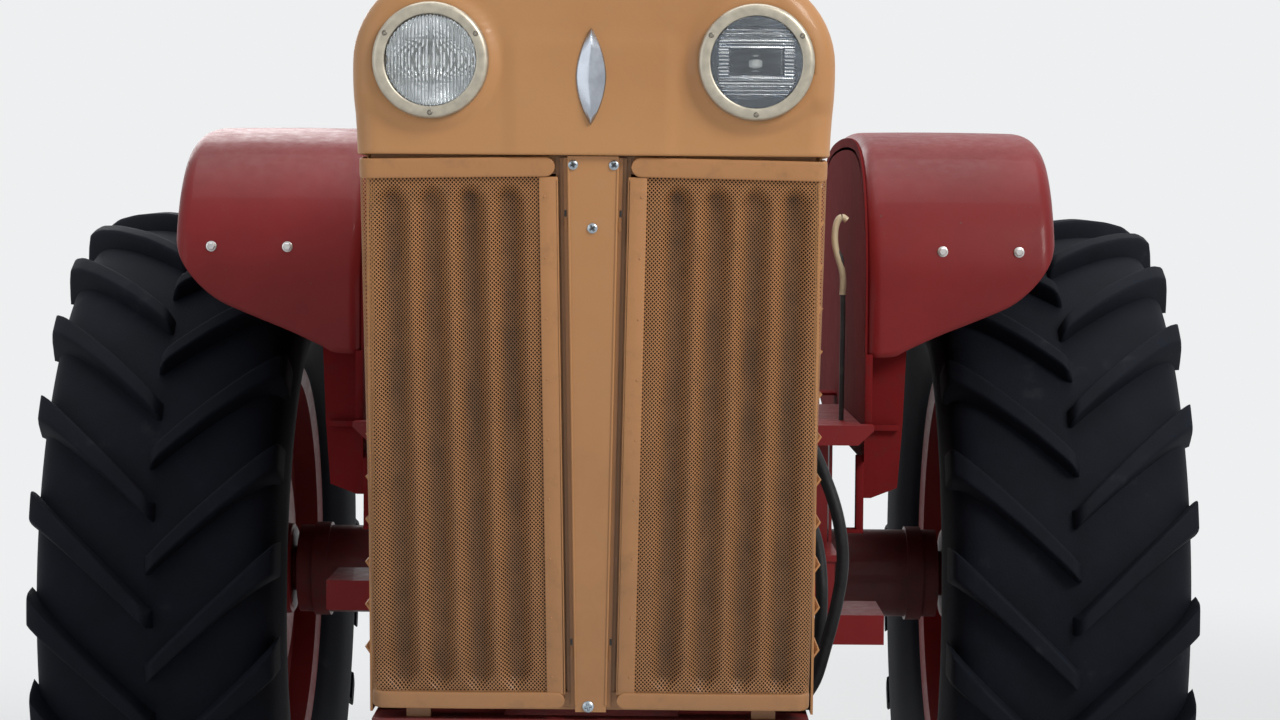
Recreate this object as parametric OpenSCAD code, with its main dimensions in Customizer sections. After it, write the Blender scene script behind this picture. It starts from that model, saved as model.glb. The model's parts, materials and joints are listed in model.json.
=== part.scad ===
// Standard-tread farm tractor, seen from the front along +Y. Millimetres.
// X is sideways, +X is the driver's left. Y runs from the nose to the drawbar. Z is up, 0 is the floor.
/* [Layout] */
// distance between the front and the rear axle
wheelbase = 2310; // [2200:10:2450]
// the nose stands this far ahead of the front axle
nose_overhang = 350; // [300:5:400]
// middle of a rear tyre from the middle of the tractor
rear_track_half = 905; // [895:5:930]
// middle of a front tyre from the middle of the tractor
front_track_half = 739; // [720:1:760]
/* [Rear wheels] */
// outer radius over the lugs
rear_tyre_r = 800; // [780:5:810]
// width of the rear tyre
rear_tyre_w = 492; // [470:2:500]
// lug height
lug_h = 38; // [30:1:45]
// lugs on one side of a rear tyre
lug_count = 23; // [20:1:26]
// bead radius of the rear rim
rear_rim_r = 432; // [420:1:440]
// width over the rear rim
rear_rim_w = 372; // [356:2:380]
/* [Front wheels] */
// outer radius of the front tyre
front_tyre_r = 440; // [420:2:450]
// width of the front tyre
front_tyre_w = 200; // [180:2:220]
// bead radius of the front rim
front_rim_r = 229; // [220:1:240]
/* [Hood and nose] */
// top of the hood
hood_top = 1880; // [1865:5:1900]
// half the width of the hood
hood_half = 284; // [275:1:290]
// radius of the hood's upper corners
hood_corner = 115; // [105:1:125]
// length of the nose cap along the tractor
nose_len = 260; // [220:5:300]
// end of the hood at the dash, from the rear axle
dash_ahead = 700; // [650:10:750]
// sheet thickness of the panels
sheet = 3; // [2:0.5:5]
// middle of a headlamp from the middle of the nose
lamp_x = 195; // [180:1:205]
// height of the headlamps
lamp_z = 1767; // [1760:1:1772]
// radius of a headlamp's opening
lamp_r = 56; // [50:1:60]
/* [Grille] */
// height of the nose's lower edge, where the grille starts
grille_top = 1655; // [1648:1:1660]
// length of the grille down its slope
grille_len = 690; // [682:1:694]
// lean of the grille, its foot further back
grille_lean = 5; // [3:0.5:7]
// grooves across one grille panel
waves = 4; // [3:1:5]
// depth of a groove
wave_h = 13; // [9:1:14]
// thickness of the perforated sheet
mesh_t = 2.4; // [2:0.2:4]
/* [Axles and steering] */
// kingpin from the middle of the tractor
kingpin_x = 596; // [580:1:620]
// radius of the rear axle tubes
axle_tube_r = 97; // [85:1:105]
// running clearance around shafts and pins
play = 0.05; // [0.03:0.01:0.08]
/* [Hidden] */
front_y = -(wheelbase + front_tyre_r + rear_tyre_r) / 2 + front_tyre_r;
rear_y = front_y + wheelbase;
nose_y = front_y - nose_overhang;
dash_y = rear_y - dash_ahead;
bolster_y = front_y;
platform_z = 1195;
red = [0.60, 0.07, 0.05];
sand = [0.74, 0.62, 0.45];
black = [0.06, 0.06, 0.06];
steel = [0.60, 0.60, 0.60];
cast = [0.30, 0.29, 0.28];

function flat(l) = [for (a = l) each a];
function turned(f, flip) = flip ? [for (t = f) [t[2], t[1], t[0]]] : f;
// a thin sheet between the point grid a and the point grid b behind it
module skin(a, b, flip = false) {
  n = len(a);
  m = len(a[0]);
  o = n * m;
  f = concat(
    [for (i = [0:n - 2], j = [0:m - 2])
      each [[i*m+j, i*m+j+1, (i+1)*m+j+1], [i*m+j, (i+1)*m+j+1, (i+1)*m+j]]],
    [for (i = [0:n - 2], j = [0:m - 2])
      each [[o+i*m+j, o+(i+1)*m+j+1, o+i*m+j+1], [o+i*m+j, o+(i+1)*m+j, o+(i+1)*m+j+1]]],
    [for (i = [0:n - 2])
      each [[i*m, (i+1)*m, o+(i+1)*m], [i*m, o+(i+1)*m, o+i*m],
            [i*m+m-1, o+(i+1)*m+m-1, (i+1)*m+m-1], [i*m+m-1, o+i*m+m-1, o+(i+1)*m+m-1]]],
    [for (j = [0:m - 2])
      each [[j, o+j+1, j+1], [j, o+j, o+j+1],
            [(n-1)*m+j, (n-1)*m+j+1, o+(n-1)*m+j+1], [(n-1)*m+j, o+(n-1)*m+j+1, o+(n-1)*m+j]]]);
  polyhedron(concat(flat(a), flat(b)), turned(f, flip));
}
// a closed body through rings of equal count, each convex
module loft(rings, flip = false) {
  n = len(rings[0]);
  m = len(rings);
  f = concat(
    [for (j = [0:m - 2], i = [0:n - 1])
      each [[j*n+i, (j+1)*n+i, (j+1)*n+(i+1)%n], [j*n+i, (j+1)*n+(i+1)%n, j*n+(i+1)%n]]],
    [for (i = [1:n - 2]) [0, i, i+1]],
    [for (i = [1:n - 2]) [(m-1)*n, (m-1)*n+i+1, (m-1)*n+i]]);
  polyhedron(flat(rings), turned(f, flip));
}
// ring in a plane of constant y: a box with rounded corners, from the lower right round over the top
function arch_ring(y, half, z0, z1, r, k = 6) = concat(
  [[half, y, z0]],
  [for (i = [0:k]) [half - r + r * cos(i * 90 / k), y, z1 - r + r * sin(i * 90 / k)]],
  [for (i = [0:k]) [-half + r - r * sin(i * 90 / k), y, z1 - r + r * cos(i * 90 / k)]],
  [[-half, y, z0]]);
module bar(a, b, r, n = 24) {
  d = b - a;
  l = norm(d);
  translate(a) rotate([0, acos(d[2] / l), atan2(d[1], d[0])]) cylinder(r = r, h = l, $fn = n);
}
// points of a curve through the given points, k steps between each two
function smooth(p, k) = concat([for (i = [0:len(p) - 2], t = [0:1 / k:0.999])
  let(a = p[max(i - 1, 0)], b = p[i], c = p[i + 1], d = p[min(i + 2, len(p) - 1)])
  0.5 * (2 * b + (c - a) * t + (2 * a - 5 * b + 4 * c - d) * t * t + (3 * b - a - 3 * c + d) * t * t * t)],
  [p[len(p) - 1]]);
// round tube body along the points p
module tube(p, r, n = 12) {
  m = len(p);
  loft([for (i = [0:m - 1]) let(d = p[min(i + 1, m - 1)] - p[max(i - 1, 0)], w = d / norm(d),
    u0 = cross(abs(w[0]) > 0.9 ? [0, 1, 0] : [1, 0, 0], w), u = u0 / norm(u0), v = cross(w, u))
    [for (j = [0:n - 1]) p[i] + r * (cos(360 * j / n) * u + sin(360 * j / n) * v)]]);
}
module box(x0, x1, y0, y1, z0, z1) {
  translate([x0, y0, z0]) cube([x1 - x0, y1 - y0, z1 - z0]);
}
module both() {
  children();
  mirror([1, 0, 0]) children();
}
module raked() {
  translate([0, nose_y + 6, grille_top]) rotate([grille_lean, 0, 0]) children();
}
module bolt_x(x, y, z, r, h, n = 6) {
  translate([x, y, z]) rotate([0, 90, 0]) cylinder(r = r, h = h, $fn = n);
}

// Front support, radiator seat and rails
rail_x = 180;
// foot of the grille, and the top of the tub that it hangs over
grille_foot = grille_top - grille_len * cos(grille_lean);
tub_top = grille_foot - 10.6;
module front_frame() {
  color(red) difference() {
    union() {
      // tub below the grille
      box(-272, 272, nose_y + 70, nose_y + 330, min(905, tub_top - 52), tub_top);
      // bolster that carries the axle and the steering arm
      hull() {
        box(-150, 150, front_y - 150, front_y + 150, 880, 906);
        box(-95, 95, front_y - 72, front_y + 72, 736, 746);
      }
      // rails back to the engine
      both() {
        box(rail_x, rail_x + 40, front_y - 120, front_y + 330, 760, 906);
      }
      box(-215, 215, front_y - 120, front_y - 60, 840, 906);
      // steering gear housing
      box(-60, 60, front_y + 50, front_y + 145, arm_z + 57, 906);
      // pivot ears of the axle
      box(-60, 60, front_y - 68, front_y - 45.3, 520, 745);
      box(-60, 60, front_y + 45.3, front_y + 68, 520, 745);
    }
    translate([0, front_y - 80, 560]) rotate([-90, 0, 0]) cylinder(r = 26, h = 160, $fn = 48);
    translate([0, arm_y, arm_z + 40]) cylinder(r = 24 + play, h = 160, $fn = 48);
    box(-110, 110, nose_y + 100, nose_y + 190, min(905, tub_top - 52) - 5, tub_top + 3);
  }
}

// Engine block, sump and bell, one solid each joined
eng_y0 = front_y + 235;
eng_y1 = eng_y0 + 960;
module engine_block() {
  color(red) union() {
    box(-140, 140, eng_y0, eng_y1, 730, 1190);
    box(-120, 120, eng_y0 + 95, eng_y1 - 60, 610, 740);
    box(-150, 150, eng_y0 - 28, eng_y0 + 2, 738, 1160);
    // bell housing
    translate([0, eng_y1 - 60, 880]) rotate([-90, 0, 0]) cylinder(r1 = 190, r2 = 225, h = 80, $fn = 64);
    // water jacket covers and ribs
    for (i = [0:5]) both() translate([136, eng_y0 + 90 + i * 150, 1040]) rotate([0, 90, 0])
      cylinder(r = 38, h = 12, $fn = 32);
    for (i = [0:6]) both() box(136, 150, eng_y0 + 10 + i * 150, eng_y0 + 26 + i * 150, 760, 1185);
    both() box(130, rail_x - 0.3, eng_y0 + 8, eng_y0 + 90, 770, 900);
    // sump flange
    box(-160, 160, eng_y0 + 10, eng_y1 - 20, 728, 742);
  }
}
module engine_head() {
  color(red) union() {
    box(-125, 125, eng_y0 + 10, eng_y1 - 30, 1190.3, 1310);
    box(-95, 60, eng_y0 + 30, eng_y1 - 60, 1308, 1330);
    // rocker cover
    translate([0, eng_y0 + 40, 0]) rotate([90, 0, 0]) mirror([0, 0, 1]) linear_extrude(eng_y1 - eng_y0 - 120)
      polygon([[-90, 1328], [55, 1328], [55, 1390], [38, 1420], [5, 1432], [-45, 1432], [-75, 1420],
        [-90, 1390]]);
    for (i = [0:2]) translate([-18, eng_y0 + 180 + i * 300, 1430]) cylinder(r = 16, h = 16, $fn = 6);
    // injector bodies on the left side of the head
    for (i = [0:5]) translate([95, eng_y0 + 90 + i * 150, 1305]) cylinder(r = 13, h = 46, $fn = 24);
  }
}
module engine_fittings() {
  color(red) union() {
    // intake and exhaust manifold on the right
    translate([-190, eng_y0 + 60, 1240]) rotate([-90, 0, 0]) cylinder(r = 38, h = 800, $fn = 40);
    for (i = [0:5]) translate([-195, eng_y0 + 85 + i * 150, 1240]) rotate([0, 90, 0])
      cylinder(r = 26, h = 69.7, $fn = 32);
    for (i = [0:5]) box(-137, -125.3, eng_y0 + 45 + i * 150, eng_y0 + 125 + i * 150, 1200, 1282);
    translate([-190, eng_y0 + 300, 1240]) cylinder(r = 34, h = 130, $fn = 40);
    translate([-190, eng_y0 + 300, 1358]) cylinder(r = 52, h = 16, $fn = 40);
  }
  color(cast) union() {
    // generator on its bracket
    translate([-232, eng_y0 + 60, 1000]) rotate([-90, 0, 0]) cylinder(r = 62, h = 210, $fn = 40);
    box(-232, -150.3, eng_y0 + 110, eng_y0 + 160, 960, 985);
    box(-232, -150.3, eng_y0 + 190, eng_y0 + 230, 960, 985);
    translate([-232, eng_y0 + 20, 1000]) rotate([-90, 0, 0]) cylinder(r = 40, h = 22, $fn = 40);
    translate([-232, eng_y0 + 40, 1000]) rotate([-90, 0, 0]) cylinder(r = 12, h = 24, $fn = 24);
  }
  color(cast) union() {
    // injection pump and filters on the left
    box(150.2, 230, eng_y0 + 250, eng_y0 + 520, 900, 1010);
    translate([190, eng_y0 + 200, 955]) rotate([-90, 0, 0]) cylinder(r = 46, h = 60, $fn = 40);
    for (i = [0:5]) translate([190, eng_y0 + 275 + i * 44, 1008]) cylinder(r = 11, h = 34, $fn = 20);
    for (i = [0, 1]) translate([205, eng_y0 + 620 + i * 120, 900]) cylinder(r = 46, h = 190, $fn = 40);
    box(150.2, 205, eng_y0 + 590, eng_y0 + 770, 1050, 1090);
    box(150.2, 205, eng_y0 + 400, eng_y0 + 770, 905, 930);
  }
  color(cast) union() {
    // steering pump on the engine's side
    translate([196, front_y + 250, 1100]) rotate([-90, 0, 0]) cylinder(r = 46, h = 130, $fn = 40);
    box(150.3, 200, front_y + 262, front_y + 320, 1060, 1120);
    box(188, 220, front_y + 276, front_y + 354, 1110, 1150);
  }
  color(cast) union() {
    // water pump, fan and its hub
    translate([0, eng_y0 - 92, 1230]) rotate([-90, 0, 0]) cylinder(r = 34, h = 102, $fn = 40);
    translate([0, eng_y0 - 70, 1230]) rotate([-90, 0, 0]) cylinder(r = 64, h = 24, $fn = 48);
    box(-60, 60, eng_y0 - 27.7, eng_y0 + 9.7, 1192, 1270);
    for (i = [0:5]) translate([0, eng_y0 - 88, 1230]) rotate([0, i * 60, 0]) translate([-45, 0, 28])
      rotate([0, 0, 22]) cube([88, 3, 190]);
  }
  color(cast) union() {
    // crank pulley
    translate([0, eng_y0 - 84, 850]) rotate([-90, 0, 0]) cylinder(r = 78, h = 40, $fn = 48);
    translate([0, eng_y0 - 60, 850]) rotate([-90, 0, 0]) cylinder(r = 30, h = 31.7, $fn = 32);
  }
}
module radiator() {
  rad_y = nose_y + 150;
  color(black) union() {
    box(-235, 235, rad_y, rad_y + 80, 1030, 1560);
    // side columns and tanks
    both() box(233, 262, rad_y - 12, rad_y + 92, tub_top + 0.3, 1620);
    box(-262, 262, rad_y - 12, rad_y + 92, tub_top + 0.3, 1035);
    box(-262, 262, rad_y - 12, rad_y + 92, 1555, 1690);
    translate([0, rad_y + 40, 1685]) cylinder(r = 40, h = 60, $fn = 40);
    // shroud behind the core
    translate([0, rad_y + 76, 1230]) rotate([-90, 0, 0]) difference() {
      cylinder(r = 250, h = 70, $fn = 64);
      translate([0, 0, -1]) cylinder(r = 240, h = 80, $fn = 64);
    }
  }
}

tr_y0 = eng_y1 + 20;
module transmission_housing() {
  color(red) union() {
    translate([0, tr_y0 + 0.3, 880]) rotate([-90, 0, 0]) cylinder(r1 = 225, r2 = 190, h = 110, $fn = 64);
    box(-170, 170, tr_y0 + 60, rear_y - 250, 640, 1090);
    box(-150, 150, tr_y0 + 140, rear_y - 300, 1085, 1125);
    for (i = [0:3]) both() box(165, 182, tr_y0 + 120 + i * 160, tr_y0 + 136 + i * 160, 660, 1080);
    both() translate([160, tr_y0 + 330, 860]) rotate([0, 90, 0]) cylinder(r = 90, h = 30, $fn = 48);
    box(-205, 205, rear_y - 300, rear_y - 250.3, 560, 1100);
  }
}
hub_x = 736;
// seat of the fender brackets on the axle tubes
pad_top = rear_tyre_r + 125;
module rear_axle_housing() {
  color(red) difference() {
    union() {
      box(-205, 205, rear_y - 250, rear_y + 190, 540, 1100);
      box(-150, 150, rear_y + 185, rear_y + 225, 560, 900);
      both() {
        // tube, flange at the housing and brake cover
        translate([200, rear_y, rear_tyre_r]) rotate([0, 90, 0])
          cylinder(r1 = 190, r2 = axle_tube_r, h = 120, $fn = 64);
        translate([318, rear_y, rear_tyre_r]) rotate([0, 90, 0]) cylinder(r = axle_tube_r, h = 390, $fn = 64);
        translate([640, rear_y, rear_tyre_r]) rotate([0, 90, 0]) cylinder(r = 104, h = 34, $fn = 64);
        translate([200, rear_y - 120, 1000]) rotate([0, 90, 0]) cylinder(r = 110, h = 60, $fn = 48);
        // pads for the fender brackets
        box(380, 470, rear_y - 60, rear_y + 60, pad_top - 45, pad_top);
      }
    }
    both() translate([560, rear_y, rear_tyre_r]) rotate([0, 90, 0]) cylinder(r = 50 + play, h = 200, $fn = 64);
    // bore of the power take-off shaft
    translate([0, rear_y + 100, 730]) rotate([-90, 0, 0]) cylinder(r = 30 + play, h = 200, $fn = 64);
  }
}

hood_low = 1500;
module arch2d(half, top, low, r) {
  k = 8;
  polygon(concat([[half, low]],
    [for (i = [0:k]) [half - r + r * cos(i * 90 / k), top - r + r * sin(i * 90 / k)]],
    [for (i = [0:k]) [-half + r - r * sin(i * 90 / k), top - r + r * cos(i * 90 / k)]], [[-half, low]]));
}
module hood() {
  y0 = nose_y + nose_len + 2;
  color(sand) difference() {
    union() {
      translate([0, dash_y - 2, 0]) rotate([90, 0, 0]) linear_extrude(dash_y - 2 - y0) difference() {
        arch2d(hood_half, hood_top, hood_low, hood_corner);
        arch2d(hood_half - sheet, hood_top - sheet, hood_low - 5, hood_corner - sheet);
      }
      // rolled lower edges and two stiffening bows
      both() box(hood_half - 16, hood_half - 1, y0, dash_y - 2, hood_low, hood_low + 3);
      for (y = [y0 + 500, dash_y - 480])
        translate([0, y, 0]) rotate([90, 0, 0]) linear_extrude(24) difference() {
        arch2d(hood_half - 1, hood_top - 1, hood_low + 20, hood_corner - 1);
        arch2d(hood_half - 12, hood_top - 12, hood_low - 5, hood_corner - 12);
      }
    }
    // openings of the exhaust and the air pipe
    translate([-190, eng_y0 + 300, hood_top - 200]) cylinder(r = 46, h = 300, $fn = 48);
    translate([120, eng_y0 + 170, hood_top - 60]) cylinder(r = 58, h = 100, $fn = 48);
    translate([0, dash_y - 330, hood_top - 60]) cylinder(r = 38, h = 100, $fn = 48);
  }
}
nose_steps = [[0, 30], [4, 18], [10, 9], [20, 3], [34, 0]];
module nose() {
  back = nose_y + nose_len;
  out = concat([for (s = nose_steps)
      arch_ring(nose_y + s[0], hood_half - s[1], grille_top, hood_top - s[1], hood_corner)],
    [arch_ring(back, hood_half, grille_top, hood_top, hood_corner)]);
  inn = concat([for (s = nose_steps) arch_ring(nose_y + s[0] + sheet, hood_half - s[1] - sheet, grille_top - 20,
    hood_top - s[1] - sheet, hood_corner)], [arch_ring(back + 5, hood_half - sheet, grille_top - 20,
    hood_top - sheet, hood_corner - sheet)]);
  color(sand) difference() {
    union() {
      difference() {
        loft(out, true);
        loft(inn, true);
      }
      // soft raised rings around the lamps
      both() translate([lamp_x, nose_y + 1.5, lamp_z]) rotate([90, 0, 0]) rotate_extrude($fn = 64)
        polygon([[lamp_r + 4, -12], [87, -12], [85, -4], [82, 3], [77, 7], [71, 9], [lamp_r + 4, 9]]);
      // folded lower lip over the grille
      box(-hood_half + 40, hood_half - 40, nose_y + 0.5, nose_y + 22, grille_top, grille_top + 3);
    }
    both() translate([lamp_x, nose_y + 40, lamp_z]) rotate([90, 0, 0])
      cylinder(r = lamp_r + 5, h = 80, $fn = 64);
  }
}
module headlamps() {
  color(steel) both() translate([lamp_x, nose_y - 10.8, lamp_z]) rotate([90, 0, 0]) union() {
    // bezel ring with three screws
    rotate_extrude($fn = 64) polygon([[lamp_r - 1, -3], [69, -3], [70, 0], [67, 5], [61, 8], [lamp_r - 1, 6]]);
    for (a = [-90, 30, 150]) rotate([0, 0, a]) translate([63.5, 0, 6]) cylinder(r = 4, h = 3.4, $fn = 16);
    // bucket behind
    rotate_extrude($fn = 64) polygon([[lamp_r - 1, -2], [lamp_r + 4.7, -2], [lamp_r + 4.7, -20], [44, -58],
      [0, -66], [0, -63], [42, -55], [lamp_r - 1, -20]]);
  }
}
module lamp_lenses() {
  color([0.8, 0.85, 0.9, 0.5]) both() translate([lamp_x, nose_y - 10.8, lamp_z]) rotate([90, 0, 0])
    rotate_extrude($fn = 64) polygon([[0, 9], [20, 8.4], [38, 6.6], [lamp_r - 1.3, 3], [lamp_r - 1.3, -1],
      [38, 2.6], [20, 4.4], [0, 5]]);
}
module nose_ornament() {
  color([0.8, 0.8, 0.8]) translate([-3, nose_y - 0.2, lamp_z - 18]) rotate([90, 0, 0]) union() {
    linear_extrude(3)
      polygon([[0, -58], [14, -30], [17, 0], [14, 30], [0, 58], [-14, 30], [-17, 0], [-14, -30]]);
    linear_extrude(6) polygon([[0, -40], [8, -20], [10, 0], [8, 20], [0, 40], [-8, 20], [-10, 0], [-8, -20]]);
  }
}

post_top = 31;
post_foot = 19;
// each panel hangs a little off plumb, as the centre strip narrows to its foot
leaf_tilt = 1;
hinge_x = 50;
hinge_y = 9;
hinge_low = [-97, -625];
module leaf() {
  raked() translate([hinge_x, 0, 0]) rotate([0, leaf_tilt, 0]) translate([-hinge_x, 0, 0]) children();
}
module grille_post() {
  color(sand) union() {
    raked() {
      // tapering centre strip
      skin([[[-post_top, 0, -1], [post_top, 0, -1]],
          [[-post_foot, 0, -grille_len], [post_foot, 0, -grille_len]]],
        [[[-post_top, 6, -1], [post_top, 6, -1]], [[-post_foot, 6, -grille_len], [post_foot, 6, -grille_len]]]);
      // bottom rail and its shelf
      box(-250, 250, 14, 17, -grille_len, -grille_len + 22);
      box(-249, 249, 13.6, 40, -grille_len - 0.4, -grille_len + 3);
      // top rail behind the nose's lower lip
      box(-270, 270, 23.2, 26.2, -24, -2);
      box(-28.4, 28.4, 4, 25, -23, -2.5);
    }
    // feet on the tub
    both() box(200, 230, nose_y + 84, nose_y + 104, tub_top + 0.3, grille_top - grille_len + 6);
    both() leaf() {
      // side walls and the sunk strips beside the post, with a slot and a tab at each hinge
      difference() {
        translate([0, 0, -grille_len + 1]) linear_extrude(grille_len - 4)
          polygon([[27.5, 0.5], [30.4, 0.5], [30.4, 21], [46, 21], [46, 24], [27.5, 24]]);
        for (z = hinge_low) box(34, 37.5, 18, 30, z + 18, z + 28);
      }
      for (z = hinge_low) {
        box(34, 42, 19.6, 22, z, z + 17.5);
        // knuckle fixed to the post
        box(43, 56, 20.4, 24.6, z - 3, z + 19);
        difference() {
          union() {
            translate([hinge_x, hinge_y, z]) cylinder(r = 5.5, h = 16, $fn = 32);
            translate([hinge_x - 4.5, hinge_y, z]) cube([9, 13, 16]);
          }
          translate([hinge_x, hinge_y, z - 1]) cylinder(r = 3, h = 18, $fn = 32);
        }
      }
    }
  }
}
// one grille panel, on the +X side: stile, grooves, wrapped outer edge, rails and hinge pins
panel_in = 43;
panel_out = 283;
module grille_panel() {
  n = waves * 8;
  x0 = panel_in + 37;
  x1 = panel_out - 15;
  zt = -29;
  zb = -grille_len + 24;
  // across the sheet: [x, distance behind the front, share of the groove]
  cols = concat([[panel_in + 21, 2, 0], [x0 - 8, 2, 0]],
    [for (i = [0:n]) [x0 + (x1 - x0) * i / n, 2, 1 - pow(abs(cos(22.5 * i)), 3)]],
    [[x1 + 7, 3.5, 0], [panel_out - 2.5, 8, 0], [panel_out, 15, 0], [panel_out, 40, 0]]);
  // down the sheet: [z, share of the groove]
  rows = [[zt, 0], [zt - 5, 0.35], [zt - 11, 0.72], [zt - 20, 1],
    [zb + 20, 1], [zb + 11, 0.72], [zb + 5, 0.35], [zb, 0]];
  full = [for (c = cols) [c[0], c[1] + wave_h * c[2]]];
  m = len(cols) - 1;
  nrm = [for (i = [0:m]) let(d = full[min(i + 1, m)] - full[max(i - 1, 0)], l = norm(d)) [-d[1] / l, d[0] / l]];
  color(sand) leaf() union() {
    skin([for (q = rows) [for (c = cols) [c[0], c[1] + wave_h * c[2] * q[1], q[0]]]],
      [for (q = rows) [for (i = [0:m]) let(c = cols[i])
        [c[0] + mesh_t * nrm[i][0], c[1] + wave_h * c[2] * q[1] + mesh_t * nrm[i][1], q[0]]]]);
    // flat inner stile
    box(panel_in, panel_in + 23, -1, 2.6, zb - 1, -28);
    // top rail with its round inner end
    box(panel_in + 15.5, panel_out - 10, -3, 6, -29.5, -5.5);
    translate([panel_in + 15.5, 6, -17.5]) rotate([90, 0, 0]) cylinder(r = 12, h = 9, $fn = 32);
    box(panel_out - 9, panel_out, 7, 40, -29.5, -5.5);
    translate([panel_out - 10, 7, -29.5]) cylinder(r = 10, h = 24, $fn = 32);
    // bottom rail
    box(panel_in + 2, panel_out - 9, -1.5, 6, zb - 20, zb + 1);
    box(panel_out - 8, panel_out, 7, 34, zb - 20, zb + 1);
    translate([panel_out - 9, 7.5, zb - 20]) cylinder(r = 9, h = 21, $fn = 32);
    // hinge pins and their knuckles behind the stile
    for (z = hinge_low) {
      translate([hinge_x, hinge_y, z - 3]) cylinder(r = 3 - play, h = 36, $fn = 32);
      translate([hinge_x, hinge_y, z + 16.5]) cylinder(r = 5.5, h = 15, $fn = 32);
      translate([hinge_x - 5, 1, z + 16.5]) cube([10, hinge_y - 1, 15]);
    }
  }
}
module grille_panel_left() {
  grille_panel();
}
module grille_panel_right() {
  mirror([1, 0, 0]) grille_panel();
}
module side_screens() {
  y0 = nose_y + 132;
  y1 = nose_y + nose_len - 6;
  foot = tub_top + 0.3;
  lead = tan(grille_lean) * (grille_top - foot);
  color(sand) both() union() {
    difference() {
      translate([hood_half - 8, 0, 0]) rotate([90, 0, 90]) linear_extrude(3)
        polygon([[nose_y + 56, grille_top + 8], [y1, grille_top + 8], [y1, foot], [nose_y + 56 + lead, foot]]);
      for (i = [0:11]) box(hood_half - 12, hood_half, y0, y1 - 24, 1010 + i * 54, 1036 + i * 54);
    }
    for (i = [0:11]) translate([hood_half - 8, (y0 + y1 - 24) / 2, 1023 + i * 54]) rotate([0, 35, 0])
      translate([-1, -(y1 - 24 - y0) / 2 - 1, -18]) cube([2.4, y1 - y0 - 22, 36]);
    box(263, hood_half - 7, nose_y + 160, nose_y + 200, foot, 1540);
  }
}
// front of the tank, over the rear of the engine
tank_y0 = eng_y1 - 345;
module fuel_tank() {
  color(black) union() {
    difference() {
      box(-225, 225, tank_y0, dash_y - 40, 1470, hood_top - 70);
      box(-222, 222, tank_y0 + 3, dash_y - 43, 1473, hood_top - 73);
    }
    translate([0, dash_y - 330, hood_top - 75]) cylinder(r = 30, h = 92, $fn = 40);
    translate([0, dash_y - 330, hood_top + 14]) cylinder(r = 44, h = 24, $fn = 40);
    for (y = [tank_y0 + 60, dash_y - 90]) {
      box(-hood_half + 3.3, hood_half - 3.3, y, y + 40, 1540, 1546);
    }
    for (x = [66, -122]) box(x, x + 24, eng_y1 - 220, eng_y1 - 180, 1310.3, 1472);
  }
}
module dash_panel() {
  color(red) difference() {
    union() {
      translate([0, dash_y + 24, 0]) rotate([90, 0, 0]) linear_extrude(24)
        arch2d(hood_half + 4, hood_top + 4, 1300, hood_corner + 4);
      box(-190, 190, dash_y, dash_y + 24, 1125.3, 1310);
      for (x = [-120, 0, 120]) translate([x, dash_y + 20, 1730]) rotate([-90, 0, 0])
        cylinder(r = 46, h = 12, $fn = 40);
    }
    translate([0, dash_y + 12, 1600]) rotate([col_tilt, 0, 0])
      cylinder(r = 30, h = 300, $fn = 40, center = true);
  }
}
// steering column, its shaft and wheel share this line
col_tilt = -62;
module col_place() {
  translate([0, dash_y + 12, 1600]) rotate([col_tilt, 0, 0]) children();
}
module steering_column() {
  color(black) union() {
    col_place() difference() {
      translate([0, 0, -30]) cylinder(r = 29.7, h = 390, $fn = 40);
      translate([0, 0, 200]) cylinder(r = 12 + play, h = 300, $fn = 40);
    }
  }
}
module steering_wheel() {
  color(black) col_place() union() {
    translate([0, 0, 360.3]) cylinder(r = 34, h = 42, $fn = 40);
    translate([0, 0, 220]) cylinder(r = 12, h = 160, $fn = 40);
    for (a = [90, 210, 330]) rotate([0, 0, a]) bar([20, 0, 380], [206, 0, 408], 8, 20);
    translate([0, 0, 408]) rotate_extrude($fn = 72) translate([208, 0]) circle(r = 14, $fn = 24);
  }
}
module step(x1, top) {
  // folded step plate with its hanger
  box(420, x1, dash_y - 40, dash_y + 150, top - 6, top);
  box(420, x1, dash_y - 46, dash_y - 39, top - 58, top);
  box(420, 426, dash_y - 40, dash_y + 150, top - 4, platform_z - 3);
}
module platform() {
  color(red) union() {
    // floor plates, with the hole of the gear lever's boot
    difference() {
      box(-474, 474, dash_y + 60, rear_y - 262, platform_z - 6, platform_z);
      translate([0, dash_y + 298, platform_z - 20]) cylinder(r = 42, h = 40, $fn = 40);
    }
    both() {
      box(190, 474, rear_y - 825, dash_y + 62, platform_z - 6, platform_z);
      // lip ahead of the fender with its cut corner
      box(190, 496, rear_y - 863, rear_y - 818, platform_z - 6, platform_z);
      translate([0, rear_y - 857, 0]) rotate([90, 0, 0]) linear_extrude(6)
        polygon([[190, platform_z - 38], [466, platform_z - 38], [496, platform_z - 10], [496, platform_z],
          [190, platform_z]]);
    }
    // bearers on the transmission
    for (y = [dash_y + 90, rear_y - 340]) both() box(150, 460, y, y + 40, platform_z - 46, platform_z - 5);
    for (y = [dash_y + 90, rear_y - 340]) box(-151, 151, y, y + 40, 1125.3, platform_z - 5);
    step(530, 815);
    mirror([1, 0, 0]) step(560, 875);
    both() {
      // battery and tool boxes under the floor, hung from it
      box(230, 417, dash_y - 260, dash_y - 60, 868, 950);
      box(222, 424, dash_y - 265, dash_y - 57, 948, 960);
      box(226, 416, dash_y - 60.2, dash_y - 50, 935, platform_z - 5.7);
    }
  }
}
// side outline of a fender as [y from the rear axle, z], from above its face over the top to the tail
fender_line = [[-780, 1590], [-730, 1660], [-650, 1716], [-540, 1748],
  [-400, 1764], [-200, 1772], [0, 1772], [200, 1764], [360, 1742], [510, 1694], [640, 1608], [730, 1490],
  [780, 1340]];
fender_in = 482;
fender_out = 847;
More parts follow.
